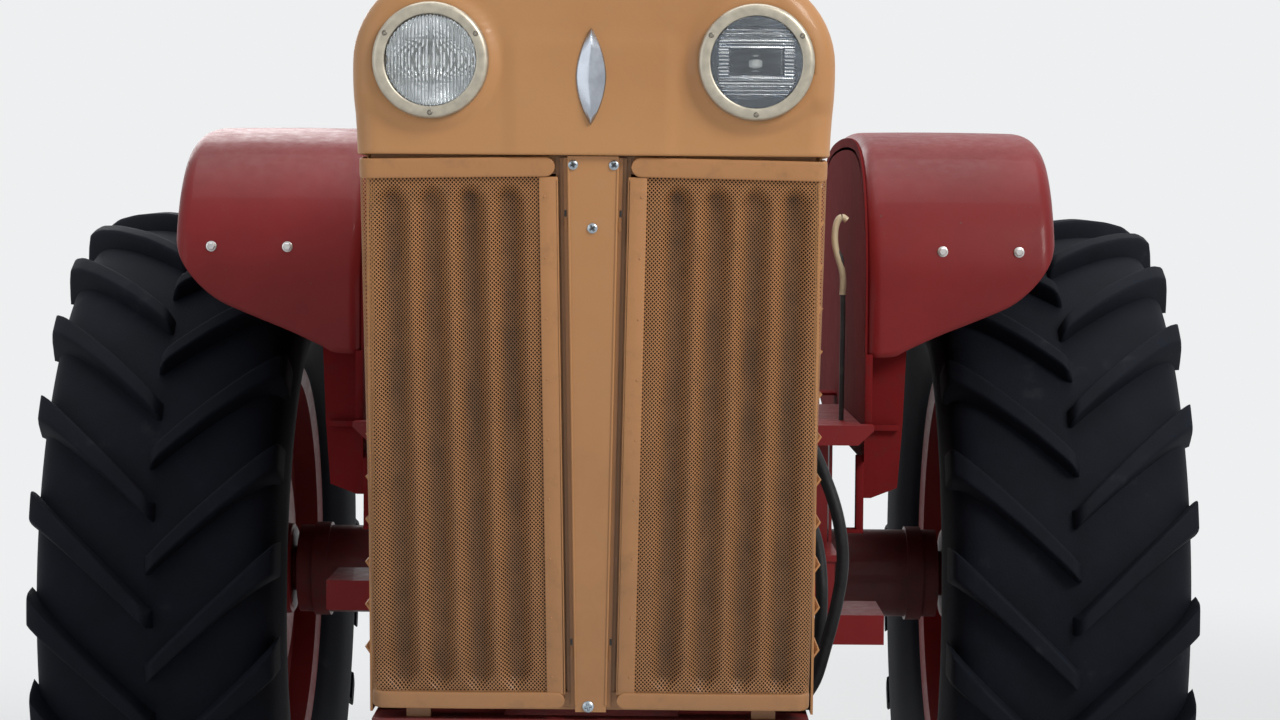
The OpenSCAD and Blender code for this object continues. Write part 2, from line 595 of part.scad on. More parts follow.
// the face: its place along the tractor by height, and its lower edge as an arc by distance from the middle
function face_y(z) = lookup(z, [[1300, -812], [1420, -812], [1470, -810], [1510, -806], [1550, -796],
  [1590, -780], [1660, -730]]);
function face_low(x) = lookup(x, [[482, 1322], [535, 1324], [560, 1336], [620, 1364], [682, 1389], [744, 1415],
  [770, 1430], [792, 1448], [810, 1467], [824, 1486], [836, 1508], [843, 1530], [847, 1552]]);
module fender() {
  n = len(fender_line);
  function tang(i) = let(a = fender_line[max(i - 1, 0)], b = fender_line[min(i + 1, n - 1)], d = b - a)
    d / norm(d);
  // across: [x share, drop below the line]
  across = [[0, 34], [0.01, 14], [0.035, 4], [0.08, 0], [0.22, -2], [0.4, -3], [0.55, -3], [0.66, -3],
    [0.75, -2], [0.82, -2], [0.88, -1], [0.93, 0], [0.965, 4], [0.99, 14], [1, 34]];
  function xs(c) = fender_in + (fender_out - fender_in) * c;
  function top_pt(i, c, t) = let(g = tang(i), p = fender_line[i], d = c[1] + t)
    [xs(c[0]), rear_y + p[0] + g[1] * d, p[1] - g[0] * d];
  function face_pt(u, c, t) = let(low = face_low(xs(c[0])), z = low + (1590 - low) * u, d = c[1] + t,
    w = [(face_y(z + 8) - face_y(z - 8)) / 16, 1], g = w / norm(w))
    [xs(c[0]), rear_y + face_y(z) + g[1] * d, z - g[0] * d];
  inset = [for (c = across) [c[0] < 0.08 ? c[0] + 0.011 : c[0] > 0.92 ? c[0] - 0.011 : c[0], c[1]]];
  us = [0, 0.15, 0.35, 0.6, 0.82];
  a = concat([for (u = us) [for (c = across) face_pt(u, c, 0)]],
    [for (i = [0:n - 1]) [for (c = across) top_pt(i, c, 0)]]);
  b = concat([for (u = us) [for (c = inset) face_pt(u, c, 4)]],
    [for (i = [0:n - 1]) [for (c = inset) top_pt(i, c, 4)]]);
  color(red) union() {
    skin(a, b, true);
    // inner panel with its front flange
    rotate([90, 0, 90]) translate([0, 0, fender_in]) linear_extrude(4)
      polygon(concat([for (p = fender_line) [rear_y + p[0] + (p[0] < 0 ? 6 : -6), p[1] - 8]],
        [[rear_y + 640, 1180], [rear_y + 300, 1120], [rear_y - 240, 1120], [rear_y - 806, 1120],
        [rear_y - 806, 1500]]));
    box(fender_in, fender_in + 14, rear_y - 812, rear_y - 806, platform_z + 3, 1328);
    // closing plate under the face, its ledge and foot
    translate([0, rear_y - 752, 0]) rotate([90, 0, 0]) linear_extrude(4)
      polygon([[484, 1340], [566, 1340], [560, 1190], [551, 1066], [500, 1046], [484, 1046]]);
    box(484, 552, rear_y - 772, rear_y - 754, 1178, 1190);
    box(470, 485, rear_y - 772, rear_y - 744, 985, 1130);
    box(448, 485, rear_y - 775, rear_y - 740, 979, 987);
    // bracket down to the axle tube
    box(440, fender_in + 2, rear_y - 50, rear_y + 50, 1200, 1206);
    box(436, 444, rear_y - 50, rear_y + 50, pad_top + 0.3, 1206);
    box(400, 440, rear_y - 50, rear_y + 50, pad_top + 0.3, pad_top + 10);
    // bolts on the front face
    for (x = [628, 774]) translate([x, rear_y - 800, 1526]) rotate([90, 0, 0])
      cylinder(r = 12, h = 12, $fn = 6);
  }
}
module fenders() {
  both() fender();
}
seat_y = rear_y - 20;
module seat_bracket() {
  color(black) union() {
    box(-60, 60, seat_y - 130, seat_y + 60, 1100.3, 1112);
    box(-30, 30, seat_y - 110, seat_y - 40, 1110, 1300);
    hull() {
      box(-30, 30, seat_y - 110, seat_y - 40, 1290, 1310);
      box(-60, 60, seat_y - 40, seat_y + 90, 1420, 1430);
    }
    box(-235, 235, seat_y - 190, seat_y + 208, 1428, 1434);
    both() box(150, 180, seat_y + 194, seat_y + 208, 1428, 1700);
    box(-225, 225, seat_y + 194, seat_y + 200, 1560, 1760);
  }
}
module seat_cushion() {
  color(black) hull() {
    translate([0, seat_y - 5, 1434.3]) linear_extrude(20) square([470, 386], center = true);
    translate([0, seat_y - 5, 1500]) linear_extrude(10) square([430, 360], center = true);
  }
}
module seat_back() {
  color(black) hull() {
    box(-230, 230, seat_y + 185, seat_y + 193.7, 1540, 1790);
    box(-200, 200, seat_y + 140, seat_y + 150, 1560, 1770);
  }
}
module controls() {
  // hooked hand lever at the platform's front
  color(steel) tube(smooth([[443, dash_y - 25, platform_z + 0.3], [443, dash_y - 25, 1480],
    [429, dash_y - 25, 1530], [427, dash_y - 25, 1562], [432, dash_y - 25, 1584],
    [441, dash_y - 25, 1591], [450, dash_y - 25, 1585]], 3), 5, 10);
  color(black) union() {
    // gear lever
    bar([0, dash_y + 301, 1135], [0, dash_y + 330, 1480], 10, 20);
    translate([0, dash_y + 330, 1480]) sphere(r = 24, $fn = 32);
    translate([0, dash_y + 298, 1125.3]) cylinder(r = 34, h = 40, $fn = 32);
  }
  color(black) union() {
    // clutch pedal on the left
    bar([240, dash_y + 60, platform_z + 6], [240, dash_y + 90, 1290], 10, 20);
    box(205, 275, dash_y + 70, dash_y + 80, 1270, 1350);
    translate([240, dash_y + 62, platform_z + 0.3]) cylinder(r = 20, h = 12, $fn = 24);
  }
  for (x = [-215, -300]) color(black) union() {
    bar([x, dash_y + 60, platform_z + 6], [x, dash_y + 90, 1290], 10, 20);
    box(x - 32, x + 32, dash_y + 70, dash_y + 80, 1270, 1340);
    translate([x, dash_y + 62, platform_z + 0.3]) cylinder(r = 20, h = 12, $fn = 24);
  }
}
module exhaust() {
  color(black) difference() {
    union() {
      translate([-190, eng_y0 + 300, 1374.3]) cylinder(r = 40, h = hood_top - 1374 + 60, $fn = 48);
      translate([-190, eng_y0 + 300, hood_top + 40]) cylinder(r1 = 40, r2 = 78, h = 40, $fn = 48);
      translate([-190, eng_y0 + 300, hood_top + 80]) cylinder(r = 78, h = 330, $fn = 48);
      translate([-190, eng_y0 + 300, hood_top + 410]) cylinder(r1 = 78, r2 = 32, h = 40, $fn = 48);
      translate([-190, eng_y0 + 300, hood_top + 450]) cylinder(r = 32, h = 120, $fn = 48);
    }
    translate([-190, eng_y0 + 300, hood_top + 360]) cylinder(r = 28, h = 300, $fn = 48);
  }
}
module air_intake() {
  color(black) union() {
    translate([120, eng_y0 + 170, 1480]) cylinder(r = 80, h = 300, $fn = 48);
    translate([120, eng_y0 + 170, 1700]) cylinder(r = 40, h = hood_top + 100 - 1700, $fn = 48);
    translate([120, eng_y0 + 170, hood_top + 80]) cylinder(r = 76, h = 16, $fn = 48);
    translate([120, eng_y0 + 170, hood_top + 94]) cylinder(r1 = 86, r2 = 60, h = 70, $fn = 48);
    box(60, 110, eng_y0 + 140, eng_y0 + 200, 1310.3, 1490);
  }
}
module drawbar() {
  color(red) difference() {
    union() {
      box(-40, 40, rear_y - 300, rear_y + 740, 420, 455);
      translate([0, rear_y + 740, 420]) cylinder(r = 40, h = 35, $fn = 40);
      both() box(60, 90, rear_y + 140, rear_y + 180, 400, 539.7);
      box(-90, 90, rear_y + 140, rear_y + 180, 400, 420.1);
      box(-90, 90, rear_y + 140, rear_y + 180, 454.9, 475);
      box(-50, 50, rear_y - 300, rear_y - 220, 450, 539.7);
    }
    translate([0, rear_y + 740, 400]) cylinder(r = 16, h = 80, $fn = 40);
  }
}
// the two hoses from the pump, past the grille's side and down to the gear housing, by points
hose_line = [
  [[204, front_y + 290, 1150.4], [204, front_y + 290, 1156], [204, front_y + 290, 1162],
   [218, front_y + 232, 1222],
   [252, front_y + 130, 1290], [284, front_y + 50, 1282],
   [308, front_y + 4, 1232], [324, front_y - 18, 1180], [330, front_y - 24, 1125], [323, front_y - 24, 1070],
   [309, front_y - 18, 1010], [293, front_y - 4, 955], [268, front_y + 24, 926], [215, front_y + 62, 928],
   [140, front_y + 90, 938], [82, front_y + 94, 944], [54, front_y + 93, 936], [46, front_y + 92, 920],
   [46, front_y + 92, 913], [46, front_y + 92, 907]],
  [[204, front_y + 340, 1150.4], [204, front_y + 340, 1156], [204, front_y + 340, 1162],
   [225, front_y + 270, 1195],
   [268, front_y + 160, 1210], [298, front_y + 70, 1150],
   [306, front_y + 30, 1080], [300, front_y + 22, 1010], [280, front_y + 38, 962], [225, front_y + 90, 960],
   [130, front_y + 124, 964], [45, front_y + 128, 952], [16, front_y + 125, 938], [10, front_y + 124, 920],
   [10, front_y + 124, 913], [10, front_y + 124, 907]]];
module steering_hoses() {
  color(black) union() {
    for (k = [0, 1]) tube(smooth(hose_line[k], 3), 8.5, 10);
    for (k = [0, 1]) translate([[46, 10][k], front_y + [92, 124][k], 906.3]) cylinder(r = 13, h = 14, $fn = 6);
  }
}

// front axle beam with kingpin eyes
axle_z = 560;
module front_axle() {
  color(red) difference() {
    union() {
      box(-470, 470, front_y - 42, front_y + 42, axle_z - 52, axle_z + 52);
      translate([0, front_y - 43.5, axle_z]) rotate([-90, 0, 0]) cylinder(r = 70, h = 87, $fn = 48);
      both() {
        hull() {
          box(400, 470, front_y - 30, front_y + 30, axle_z - 42, axle_z + 42);
          box(kingpin_x - 10, kingpin_x + 4, front_y - 30, front_y + 30, axle_z - 60, axle_z + 70);
        }
        translate([kingpin_x, front_y, axle_z - 75]) cylinder(r = 46, h = 170, $fn = 48);
      }
    }
    translate([0, front_y - 60, axle_z]) rotate([-90, 0, 0]) cylinder(r = 26, h = 120, $fn = 48);
    both() translate([kingpin_x, front_y, axle_z - 110]) cylinder(r = 22 + play, h = 220, $fn = 48);
  }
  color(steel) union() {
    translate([0, front_y - 86, axle_z]) rotate([-90, 0, 0]) cylinder(r = 26, h = 172, $fn = 48);
    translate([0, front_y - 94, axle_z]) rotate([-90, 0, 0]) cylinder(r = 40, h = 10, $fn = 40);
    translate([0, front_y + 80, axle_z]) rotate([-90, 0, 0]) cylinder(r = 40, h = 10, $fn = 40);
  }
}
arm_len = 150;
arm_y = front_y + 108;
arm_z = 668;
rod_z = arm_z + 23;
pin_r = 11;
module knuckle() {
  color(red) union() {
    // kingpin, foot, arm and spindle
    translate([kingpin_x, front_y, axle_z - 130]) cylinder(r = 22, h = 260, $fn = 48);
    translate([kingpin_x, front_y, 395]) cylinder(r = 42, h = axle_z - 75.3 - 395, $fn = 48);
    translate([kingpin_x, front_y, front_tyre_r]) rotate([0, 90, 0])
      cylinder(r1 = 44, r2 = 34, h = 58, $fn = 48);
    translate([kingpin_x, front_y, front_tyre_r]) rotate([0, 90, 0]) cylinder(r = 24, h = 190, $fn = 48);
    translate([kingpin_x, front_y, axle_z + 95.3]) cylinder(r = 38, h = 40, $fn = 48);
    translate([kingpin_x - 26, front_y, arm_z]) cube([52, 60, 22]);
    translate([kingpin_x - 19, front_y, arm_z]) cube([38, arm_len, 22]);
    translate([kingpin_x, front_y + arm_len, arm_z]) cylinder(r = 19, h = 22, $fn = 32);
    translate([kingpin_x, front_y + arm_len, arm_z + 10]) cylinder(r = pin_r, h = 44, $fn = 32);
  }
}
module knuckle_left() {
  knuckle();
}
module knuckle_right() {
  mirror([1, 0, 0]) knuckle();
}
module steering_arm() {
  color(red) union() {
    // shaft in the gear housing, arm and the pin that both rods share
    translate([0, arm_y, arm_z]) cylinder(r = 24, h = 190, $fn = 48);
    translate([0, arm_y, arm_z]) cylinder(r = 32, h = 56.7, $fn = 48);
    translate([-21, arm_y, arm_z]) cube([42, arm_len, 22]);
    translate([0, arm_y + arm_len, arm_z]) cylinder(r = 21, h = 22, $fn = 32);
    translate([0, arm_y + arm_len, arm_z + 10]) cylinder(r = pin_r, h = 44, $fn = 32);
  }
}
module tie_rod(low) {
  z_in = rod_z + (low ? 0 : 16);
  color(red) difference() {
    union() {
      translate([0, arm_y + arm_len, z_in]) cylinder(r = 22, h = 14, $fn = 40);
      translate([kingpin_x, front_y + arm_len, rod_z]) cylinder(r = 21, h = 30, $fn = 40);
      translate([0, arm_y + arm_len, z_in + 7]) rotate([0, 90, -atan((arm_y - front_y) / kingpin_x)]) {
        translate([0, 0, 17]) cylinder(r = 6.5, h = 573, $fn = 32);
        translate([0, 0, 60]) cylinder(r = 12, h = 485, $fn = 32);
      }
    }
    translate([0, arm_y + arm_len, rod_z - 9]) cylinder(r = pin_r + play, h = 60, $fn = 40);
    translate([kingpin_x, front_y + arm_len, rod_z - 9]) cylinder(r = pin_r + play, h = 60, $fn = 40);
  }
}
module tie_rod_left() {
  tie_rod(true);
}
module tie_rod_right() {
  mirror([1, 0, 0]) tie_rod(false);
}

// turned profile around the X axis at a wheel: [distance out from the tyre's middle, radius]
module wheel_turn(track, y, z, pts, n = 72) {
  translate([track, y, z]) rotate([0, 90, 0]) rotate([0, 0, 90]) rotate_extrude($fn = n)
    polygon([for (p = pts) [p[1], p[0]]]);
}
module front_wheel() {
  w = front_tyre_w / 2 - 28;
  color(red) difference() {
    union() {
      // rim
      wheel_turn(front_track_half, front_y, front_tyre_r, [[-w, front_rim_r + 14], [-w + 5, front_rim_r + 16],
        [-w + 10, front_rim_r - 2], [-w + 32, front_rim_r - 4], [-w + 40, front_rim_r - 26],
        [w - 40, front_rim_r - 26], [w - 32, front_rim_r - 4], [w - 10, front_rim_r - 2],
        [w - 5, front_rim_r + 16], [w, front_rim_r + 14], [w - 4, front_rim_r - 7], [w - 28, front_rim_r - 9],
        [w - 36, front_rim_r - 32], [-w + 36, front_rim_r - 32], [-w + 28, front_rim_r - 9],
        [-w + 4, front_rim_r - 7]]);
      // dished disc
      wheel_turn(front_track_half, front_y, front_tyre_r, [[-26, front_rim_r - 30], [-18, front_rim_r - 30],
        [14, 150], [6, 118], [6, 40], [-2, 40], [-2, 120], [5, 150]]);
      // hub and cap
      wheel_turn(front_track_half, front_y, front_tyre_r, [[-70, 24 + play], [-70, 58], [-20, 62], [-20, 92],
        [-2, 92], [-2, 62], [40, 48], [62, 34], [66, 0], [60, 0], [60, 24 + play]]);
      for (a = [0:5]) translate([front_track_half + 5.9, front_y, front_tyre_r]) rotate([a * 60, 0, 0])
        translate([0, 80, 0]) rotate([0, 90, 0]) cylinder(r = 11, h = 14, $fn = 6);
    }
  }
}
module front_wheel_left() {
  front_wheel();
}
module front_wheel_right() {
  mirror([1, 0, 0]) front_wheel();
}
module front_tyre() {
  w = front_tyre_w / 2;
  b = front_tyre_w / 2 - 28;
  r = front_tyre_r;
  half = [[b - 10.3, front_rim_r - 1.7], [b - 5.3, front_rim_r + 16.3], [b + 16, front_rim_r + 36],
    [w, front_rim_r + 80], [w - 3, r - 92], [w - 18, r - 50], [w - 30, r - 30], [w - 50, r - 20],
    [w - 54, r - 6], [w - 70, r - 5], [w - 74, r - 18], [12, r - 14], [9, r]];
  color(black) wheel_turn(front_track_half, front_y, front_tyre_r, concat(
    [for (p = half) p], [for (i = [len(half) - 1:-1:0]) [-half[i][0], half[i][1]]],
    [[-b + 32, front_rim_r - 3.7], [-b + 40, front_rim_r - 24], [-b + 44, front_rim_r - 10],
     [b - 44, front_rim_r - 10], [b - 40, front_rim_r - 24], [b - 32, front_rim_r - 3.7]]), 64);
}
module front_tyre_left() {
  front_tyre();
}
module front_tyre_right() {
  mirror([1, 0, 0]) front_tyre();
}
module rear_wheel() {
  w = rear_rim_w / 2;
  r = rear_rim_r;
  d = hub_x - rear_track_half;
  color(red) union() {
    wheel_turn(rear_track_half, rear_y, rear_tyre_r, [[-w, r + 24], [-w + 8, r + 26], [-w + 16, r - 1],
      [-w + 60, r - 5], [-w + 84, r - 38], [w - 84, r - 38], [w - 60, r - 5], [w - 16, r - 1], [w - 8, r + 26],
      [w, r + 24], [w - 8, r - 8], [w - 58, r - 12], [w - 82, r - 46], [-w + 82, r - 46], [-w + 58, r - 12],
      [-w + 8, r - 8]]);
    // dished disc from the hub flange out to the rim
    wheel_turn(rear_track_half, rear_y, rear_tyre_r, [[-40, r - 44], [-28, r - 44], [-60, 330], [-110, 270],
      [d + 32, 235], [d + 32, 90], [d + 18, 90], [d + 18, 240], [-122, 275], [-72, 334]]);
    // hub, flange and shaft
    wheel_turn(rear_track_half, rear_y, rear_tyre_r, [[d - 150, 0], [d - 150, 50], [d - 14, 50], [d - 14, 92],
      [d - 10, 99], [d + 2, 101], [d + 8, 150], [d + 18.2, 150], [d + 18.2, 110], [d + 34, 100],
      [d + 80, 84], [d + 84, 60], [d + 104, 56], [d + 104, 0]]);
    for (a = [0:7]) translate([hub_x + 31.9, rear_y, rear_tyre_r]) rotate([a * 45 + 22.5, 0, 0])
      translate([0, 190, 0]) rotate([0, 90, 0]) cylinder(r = 16, h = 20, $fn = 6);
  }
}
module rear_wheel_left() {
  rear_wheel();
}
module rear_wheel_right() {
  mirror([1, 0, 0]) rear_wheel();
}
// lug sections from the tread's middle outwards:
// [x, drop of the top, half width of the top, half width of the foot]
lug_steps = [[8, 0, 15, 24], [90, 3, 17, 28], [170, 12, 21, 34], [rear_tyre_w / 2 + 1, 38, 27, 42]];
lug_sweep = 16;
module lug(a0, side) {
  rc = rear_tyre_r - lug_h;
  function at(x, r, a) = [x, r * cos(a), r * sin(a)];
  pts = [for (s = lug_steps) let(a = a0 - lug_sweep * s[0] / 232, rt = rear_tyre_r - s[1],
    rb = rc - 16 - s[1] * 1.6, dt = s[2] / rear_tyre_r * 180 / PI, db = s[3] / rc * 180 / PI)
    each [at(side * s[0], rb, a - db), at(side * s[0], rt, a - dt), at(side * s[0], rt, a + dt),
      at(side * s[0], rb, a + db)]];
  n = len(lug_steps);
  f = concat([for (i = [0:n - 2], k = [0:3]) each [[4*i+k, 4*i+(k+1)%4, 4*(i+1)+(k+1)%4],
    [4*i+k, 4*(i+1)+(k+1)%4, 4*(i+1)+k]]],
    [[0, 3, 2], [0, 2, 1], [4*n-4, 4*n-3, 4*n-2], [4*n-4, 4*n-2, 4*n-1]]);
  polyhedron(pts, turned(f, side > 0));
}
module rear_tyre() {
  w = rear_tyre_w / 2;
  b = rear_rim_w / 2;
  rc = rear_tyre_r - lug_h;
  r = rear_rim_r;
  half = [[b - 16.3, r - 0.7], [b - 8.3, r + 26.3], [b + 16, r + 44], [w - 14, r + 90], [w, r + 165],
    [w - 2, rc - 110], [w - 18, rc - 52], [w - 50, rc - 20], [w - 110, rc - 6], [40, rc]];
  color(black) union() {
    wheel_turn(rear_track_half, rear_y, rear_tyre_r, concat(half,
      [for (i = [len(half) - 1:-1:0]) [-half[i][0], half[i][1]]],
      [[-b + 60, r - 4.7], [-b + 84, r - 37], [-b + 100, r - 8], [b - 100, r - 8], [b - 84, r - 37],
       [b - 60, r - 4.7]]), 72);
    translate([rear_track_half, rear_y, rear_tyre_r]) for (i = [0:lug_count - 1], side = [-1, 1])
      lug(i * 360 / lug_count + (side > 0 ? 180 / lug_count : 0), side);
  }
}
module rear_tyre_left() {
  rear_tyre();
}
module rear_tyre_right() {
  mirror([1, 0, 0]) rear_tyre();
}
module pto_shaft() {
  color(steel) union() {
    translate([0, rear_y + 110, 730]) rotate([-90, 0, 0]) cylinder(r = 30, h = 115, $fn = 48);
    translate([0, rear_y + 225.3, 730]) rotate([-90, 0, 0]) cylinder(r = 36, h = 10, $fn = 48);
    translate([0, rear_y + 225, 730]) rotate([-90, 0, 0]) cylinder(r = 17.5, h = 90, $fn = 48);
  }
}

front_frame();
engine_block();
engine_head();
engine_fittings();
radiator();
transmission_housing();
rear_axle_housing();
hood();
nose();
headlamps();
lamp_lenses();
nose_ornament();
grille_post();
side_screens();
fuel_tank();
dash_panel();
steering_column();
platform();
fenders();
seat_bracket();
seat_cushion();
seat_back();
controls();
exhaust();
air_intake();
drawbar();
steering_hoses();
front_axle();
grille_panel_left();
grille_panel_right();
steering_arm();
knuckle_left();
knuckle_right();
tie_rod_left();
tie_rod_right();
steering_wheel();
front_wheel_left();
front_wheel_right();
front_tyre_left();
front_tyre_right();
rear_wheel_left();
rear_wheel_right();
rear_tyre_left();
rear_tyre_right();
pto_shaft();
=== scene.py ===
# %% [markdown]
# # A farm tractor, dressed for the studio
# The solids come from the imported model, where every piece already has its size and its place.
# Here each piece gets the surface that the eye meets: paint, rubber, glass, and the fine forms
# that are too small for the solids. Lengths are metres, the front looks along -Y and Z is up.

# %% Load the frame
import bpy, bmesh, json, math
import numpy as np
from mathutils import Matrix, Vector
from mathutils.bvhtree import BVHTree


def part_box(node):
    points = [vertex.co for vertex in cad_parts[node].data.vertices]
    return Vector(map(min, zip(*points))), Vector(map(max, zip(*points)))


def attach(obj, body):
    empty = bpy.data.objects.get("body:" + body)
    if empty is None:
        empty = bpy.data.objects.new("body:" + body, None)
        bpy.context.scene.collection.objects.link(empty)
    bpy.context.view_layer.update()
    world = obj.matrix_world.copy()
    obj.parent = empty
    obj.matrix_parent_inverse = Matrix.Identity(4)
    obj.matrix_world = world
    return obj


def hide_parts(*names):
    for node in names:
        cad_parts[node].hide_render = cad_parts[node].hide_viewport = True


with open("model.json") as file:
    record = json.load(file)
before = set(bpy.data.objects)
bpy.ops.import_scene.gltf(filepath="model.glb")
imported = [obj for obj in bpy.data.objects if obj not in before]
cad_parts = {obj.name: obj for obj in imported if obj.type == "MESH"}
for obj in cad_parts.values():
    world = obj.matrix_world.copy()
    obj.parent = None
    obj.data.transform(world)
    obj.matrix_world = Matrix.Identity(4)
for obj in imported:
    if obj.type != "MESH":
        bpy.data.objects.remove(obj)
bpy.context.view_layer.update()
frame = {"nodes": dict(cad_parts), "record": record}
nodes = frame["nodes"]
slot_of_node = {s["node"]: s["material_slot"] for s in frame["record"]["subparts"]}
print("pieces in the frame:", len(nodes))

# %% [markdown]
# ## Places from the frame
# Everything below is placed from a few corners of the solids, so that the dressed pieces follow
# the model when its sizes change. The lamps' raised rings stand 7.5 mm ahead of the nose.

# %% Places from the frame
def corners(node):
    """Lowest and highest corner of a solid as arrays."""
    low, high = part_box(node)
    return np.array(low), np.array(high)


pod_height, bezel_r = 0.0075, 0.070
nose_low, nose_high = corners("nose")
nose_y = nose_low[1] + pod_height
nose_back = nose_high[1]
hood_half, hood_top = nose_high[0], nose_high[2]
grille_top = nose_low[2]
lamp_low, lamp_high = corners("headlamps")
lamp_x, lamp_z = lamp_high[0] - bezel_r, (lamp_low[2] + lamp_high[2]) / 2
front_y = sum(corners("front_wheel_left"))[1] / 2
rear_y = sum(corners("rear_wheel_left"))[1] / 2
rear_r = corners("rear_tyre_left")[1][2] / 2
print("nose at y", round(nose_y, 3), "and lamps at", round(lamp_x, 3), round(lamp_z, 3))
print("axles at y", round(front_y, 3), "and", round(rear_y, 3))

# %% [markdown]
# ## Camera
# The picture was taken from about three metres with a long lens, a little to the driver's left,
# looking slightly down. A long lens keeps the grille's sides nearly parallel, so the angle of
# view matters more than the distance. The lens is worked out from the pixel scale at the nose,
# and the camera leans under half a degree, as a hand-held one does.

# %% Camera
focal_px, picture_px, sensor_mm = 2600, 1280, 36
cam_data = bpy.data.cameras.new("camera")
cam_data.sensor_width = sensor_mm
cam_data.lens = focal_px / picture_px * sensor_mm
cam = bpy.data.objects.new("camera", cam_data)
bpy.context.scene.collection.objects.link(cam)
cam.location = (0.073, nose_y - 3.133, 1.570)
cam.rotation_euler = (math.radians(90 - 2.94), math.radians(-0.44), math.radians(0.29))
bpy.context.scene.camera = cam
print("lens", round(cam_data.lens, 1), "mm at", [round(v, 3) for v in cam.location])

# %% [markdown]
# ## Studio
# A pale floor that fades into the backdrop's own white far out, a world that looks white to the
# camera but lights softly, and four large lamps. Large lamps give the long soft streaks that show
# how a painted panel is curved. The strongest one stands high on the driver's left, as the sun
# does in the picture.

# %% Floor, world and lamps
def new_material(name):
    """An empty node material: its node tree, the shader and a helper that adds nodes."""
    mat = bpy.data.materials.new(name)
    mat.use_nodes = True
    tree = mat.node_tree
    shader = tree.nodes["Principled BSDF"]
    def add(kind, **values):
        node = tree.nodes.new(kind)
        for key, value in values.items():
            if key in node.inputs:
                node.inputs[key].default_value = value
            else:
                setattr(node, key, value)
        return node
    return mat, tree, shader, add


def combined(tree, operation, first, second):
    """Two values put together by one math node."""
    node = tree.nodes.new("ShaderNodeMath")
    node.operation = operation
    tree.links.new(first, node.inputs[0])
    tree.links.new(second, node.inputs[1])
    return node.outputs[0]


def seen_ray(tree):
    """1 for the rays that show the background as a picture: seen directly, mirrored or through glass."""
    path = tree.nodes.new("ShaderNodeLightPath")
    highest = path.outputs["Is Camera Ray"]
    for kind in ("Is Glossy Ray", "Is Transmission Ray"):
        highest = combined(tree, "MAXIMUM", highest, path.outputs[kind])
    return highest


floor_mesh = bpy.data.meshes.new("floor")
floor_mesh.from_pydata([(-40, -40, 0), (40, -40, 0), (40, 40, 0), (-40, 40, 0)], [], [(0, 1, 2, 3)])
floor = bpy.data.objects.new("floor", floor_mesh)
bpy.context.scene.collection.objects.link(floor)
backdrop_white = (0.95, 0.96, 0.97, 1)
backdrop_level = 0.90
floor_mat, tree, shader, add = new_material("floor")
shader.inputs["Base Color"].default_value = (0.80, 0.80, 0.79, 1)
shader.inputs["Roughness"].default_value = 0.9
far = add("ShaderNodeEmission", Color=backdrop_white, Strength=backdrop_level)
coords, length = add("ShaderNodeTexCoord"), add("ShaderNodeVectorMath", operation="LENGTH")
fade = add("ShaderNodeMapRange", interpolation_type="SMOOTHSTEP")
for key, value in (("From Min", 2.2), ("From Max", 7.0), ("To Min", 0.0), ("To Max", 1.0)):
    fade.inputs[key].default_value = value
to_far = add("ShaderNodeMixShader")
tree.links.new(coords.outputs["Object"], length.inputs[0])
tree.links.new(length.outputs["Value"], fade.inputs["Value"])
tree.links.new(combined(tree, "MULTIPLY", fade.outputs[0], seen_ray(tree)), to_far.inputs["Fac"])
tree.links.new(shader.outputs[0], to_far.inputs[1])
tree.links.new(far.outputs[0], to_far.inputs[2])
tree.links.new(to_far.outputs[0], tree.nodes["Material Output"].inputs["Surface"])
floor_mesh.materials.append(floor_mat)

world = bpy.data.worlds.new("studio")
bpy.context.scene.world = world
world.use_nodes = True
world_tree = world.node_tree
world_tree.nodes["Background"].inputs["Color"].default_value = (0.90, 0.94, 1.0, 1)
world_tree.nodes["Background"].inputs["Strength"].default_value = 0.42
white = world_tree.nodes.new("ShaderNodeBackground")
white.inputs["Color"].default_value = backdrop_white
white.inputs["Strength"].default_value = backdrop_level
pick = world_tree.nodes.new("ShaderNodeMixShader")
world_tree.links.new(seen_ray(world_tree), pick.inputs["Fac"])
world_tree.links.new(world_tree.nodes["Background"].outputs[0], pick.inputs[1])
world_tree.links.new(white.outputs[0], pick.inputs[2])
world_tree.links.new(pick.outputs[0], world_tree.nodes["World Output"].inputs["Surface"])


def lamp(name, place, aim, size, watts, color=(1, 1, 1)):
    """A square area lamp at a place, turned to a point."""
    data = bpy.data.lights.new(name, "AREA")
    data.energy = watts
    data.size = size
    data.color = color
    light = bpy.data.objects.new(name, data)
    bpy.context.scene.collection.objects.link(light)
    light.location = place
    way = np.array(aim, float) - np.array(place, float)
    down = math.acos(-way[2] / np.linalg.norm(way))
    light.rotation_euler = (down, 0, math.atan2(way[1], way[0]) - math.pi / 2)


lamp("key", (4.2, -5.2, 5.6), (0, -1, 1.2), 2.4, 330, (1, 0.97, 0.92))
lamp("fill", (-5.5, -5.0, 3.0), (0, -0.5, 1.0), 4.0, 45, (0.93, 0.96, 1))
lamp("top", (0, 0.5, 6.5), (0, 0, 0), 5.0, 180)
lamp("back", (-2.5, 6.0, 4.0), (0, 0.5, 1.0), 3.0, 95)
bpy.context.scene.view_settings.view_transform = "Standard"
print("floor, world and", len(bpy.data.lights), "lamps")

# %% [markdown]
# ## Paint, rubber and metal
# Two enamels cover the machine: a deep red and a warm sand. Enamel has a thin clear top, so the
# coat gives the sharp reflection and the base under it stays broad. Age shows as faint patches,
# dust in the lows, chips that bare the primer, and a fine waviness from the spray gun. All
# patterns are noise in the object's own space, so they stay put when a piece moves.

